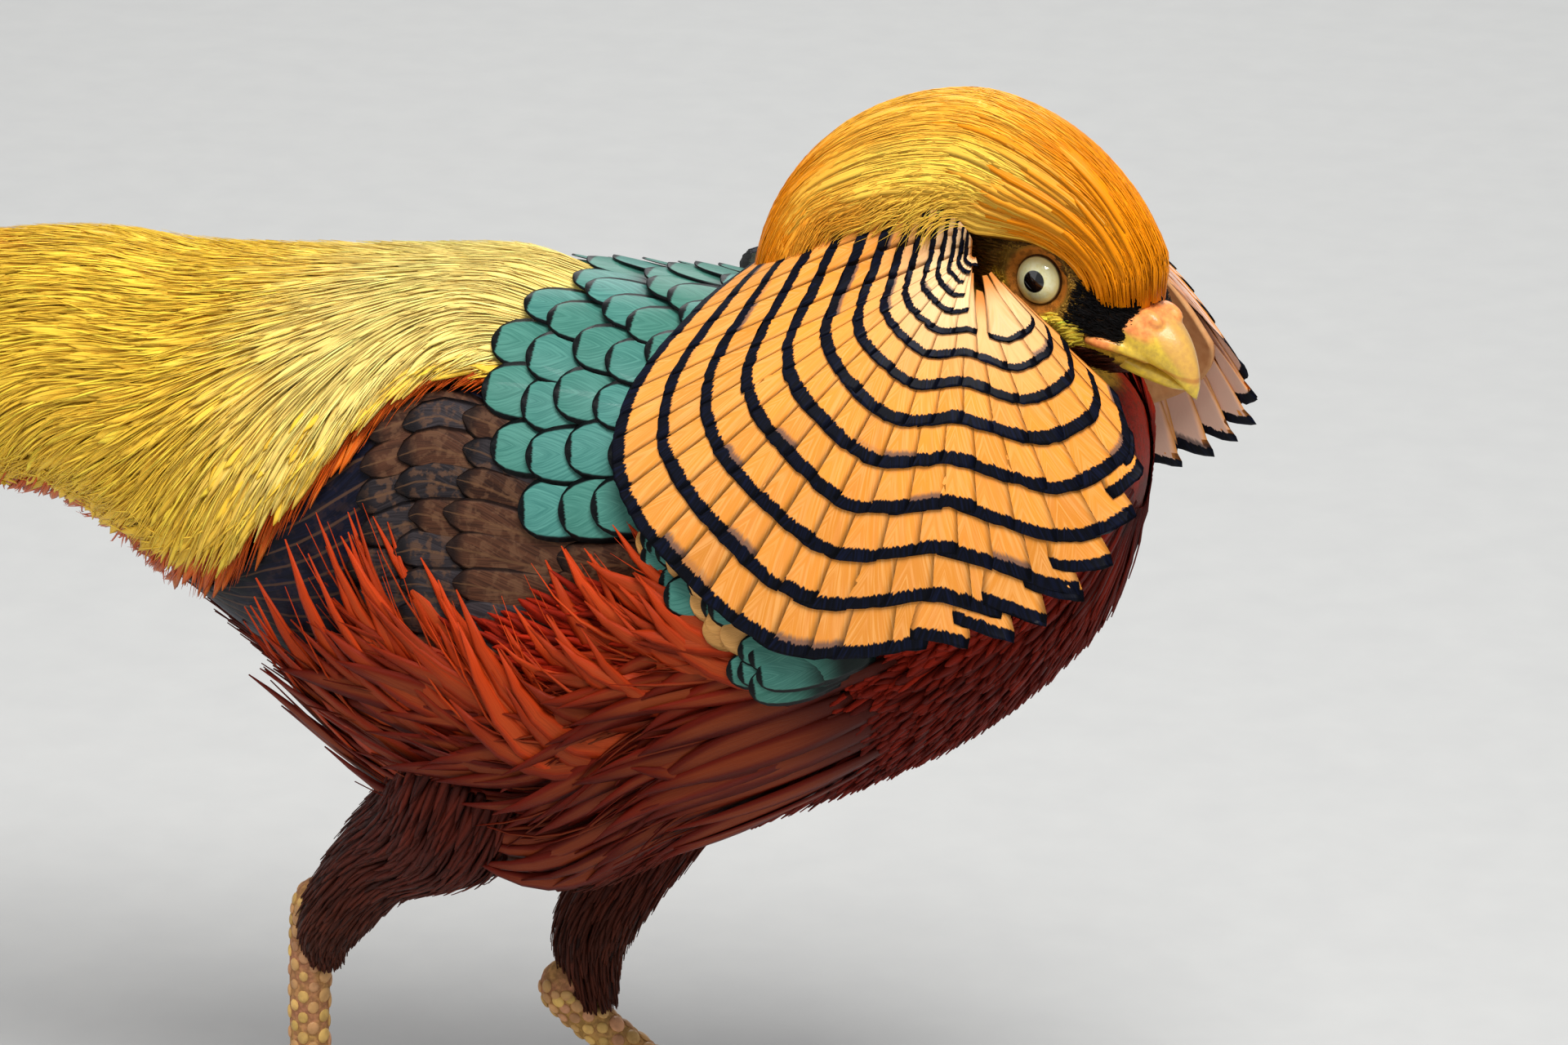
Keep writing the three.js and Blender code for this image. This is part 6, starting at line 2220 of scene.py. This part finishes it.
def toe_and_claw(foot, way, length):
    """The surfaces of one toe and of its claw."""
    def at(away, z):
        return [foot[0] + math.cos(way) * away, foot[1] + math.sin(way) * away, z]

    toe_path = [at(-2, 6), at(length * 0.25, 4.4), at(length * 0.6, 3.4), at(length, 3.2)]
    claw_path = [at(length - 2, 3.2), at(length + 4, 3.4), at(length + 9, 1.0)]
    toe = limb_surface(toe_path, TOE_GIRTH, (0, 0, 1))
    return toe, limb_surface(claw_path, CLAW_GIRTH, (0, 0, 1))


def pad_loft(foot):
    """The ball of the foot, under the toes' roots."""
    rise, turn = ball_angles(20, 32)
    return loft("pad", np.stack([
        foot[0] + 1 + PAD[0] * np.sin(rise) * np.cos(turn),
        foot[1] + PAD[1] * np.sin(rise) * np.sin(turn), PAD[2] + PAD[2] * np.cos(rise),
    ], -1))


print("toes", [length for _, length in TOES], "mm long")

# %% Legs
SCUTE_STEP = 3.0  # mm along the shank
TOE_SCUTE_STEP = 2.3
SCUTE_YELLOW = srgb(214, 176, 96)
SCUTE_PINK = srgb(196, 140, 104)


def on_floor(made):
    """Presses what reaches through the floor up to it, and wraps the form."""
    points = mesh_points(made.data)
    points[:, 2] = np.maximum(points[:, 2], 0.0)
    made.data.vertices.foreach_set("co", metres(points).astype(np.float32).ravel())
    made.data.update()
    wrapped(made)


def scutes_on(name, shod):
    rng = np.random.default_rng(19)
    points, out, lie, size = (np.concatenate(part) for part in zip(*shod))
    tint = mixed(SCUTE_YELLOW, SCUTE_PINK, rng.random(len(points)))
    points = points - out * 0.12  # sunk a little into the skin
    points[:, 2] = np.maximum(points[:, 2], 1.2)
    scutes = plates("scutes_" + name, points, out, lie, size, scute_material, varied(tint, rng, 0.12), 2)
    finish_piece(scutes, scute_material, "leg_scales")


for name, side in SIDES.items():
    heel, foot, aim = (LEGS[name][key] for key in ("heel", "foot", "aim"))
    shank = shank_surface(heel, foot)
    shank_forms = [loft("shank", round_rings(shank, 90, 32)), spur_loft(heel, foot)]
    tarsus = remeshed(shank_forms, "tarsus_skin_" + name, 0.8, 2)
    count = round(math.dist(heel, (*foot, 8)) / SCUTE_STEP)
    shod = [scute_rows(shank, 0.16, 0.93, count, SHANK_ROWS)]
    toe_forms, claw_forms = [], []
    for angle, length in TOES:
        toe, claw = toe_and_claw(foot, math.radians((angle + aim) * side), length)
        toe_forms.append(loft("toe", round_rings(toe, 40, 20)))
        claw_forms.append(loft("claw", round_rings(claw, 16, 12)))
        shod.append(scute_rows(toe, 0.2, 0.97, round(length / TOE_SCUTE_STEP), TOE_ROWS))
    toes = remeshed(toe_forms + [pad_loft(foot)], "foot_skin_" + name, 0.8, 2)
    claws = remeshed(claw_forms, "claws_" + name, 0.5, 1)
    for made in (tarsus, toes, claws):
        on_floor(made)
    finish_piece(tarsus, leg_material, "leg_scales", "tarsus_" + name)
    finish_piece(toes, leg_material, "leg_scales", "foot_" + name)
    finish_piece(claws, claw_material, "leg_scales")
    scutes_on(name, shod)

# %% [markdown]
# ## Floor and light
# A plain pale floor, one large soft lamp high in front, a weak one for the shadows, one behind for the
# edge of the back, and a pale room show the colours as they are. The standard view transform keeps them
# from being tinted again.

# %% Floor
floor_mesh = bpy.data.meshes.new("floor")
floor_mesh.from_pydata([(-6, -4, 0), (6, -4, 0), (6, 8, 0), (-6, 8, 0)], [], [(0, 1, 2, 3)])
floor = placed("floor", floor_mesh)
floor_finish = Finish("studio floor", 0.8)
floor_grey = floor_finish.mix(floor_finish.noise(60, 3.0), srgb(188, 188, 186), srgb(196, 196, 193))
floor.data.materials.append(floor_finish.colour(floor_grey))
print("floor ready")

# %% Light
def lamp(name, place, size, power):
    """A square lamp that looks at the bird; place in mm, size in metres, power in watts."""
    data = bpy.data.lights.new(name, "AREA")
    data.size = size
    data.energy = power
    made = placed(name, data)
    made.location = metres(place)
    backward = unit(np.array(place) - LOOK_AT)
    sideways = unit(np.cross([0, 0, 1.0], backward))
    made.rotation_mode = "QUATERNION"
    made.rotation_quaternion = turned_to(sideways, np.cross(backward, sideways), backward)


lamp("key", [350, -650, 1650], 0.9, 35)
lamp("fill", [-1200, -900, 600], 1.4, 4)
lamp("rim", [-300, 1300, 1100], 1.0, 9)
world = bpy.data.worlds.new("pale room")
bpy.context.scene.world = world
world.use_nodes = True
world.node_tree.nodes["Background"].inputs[0].default_value = (0.93, 0.95, 1.0, 1)
world.node_tree.nodes["Background"].inputs[1].default_value = 0.4
bpy.context.scene.view_settings.view_transform = "Standard"
print("three lamps and a pale room")
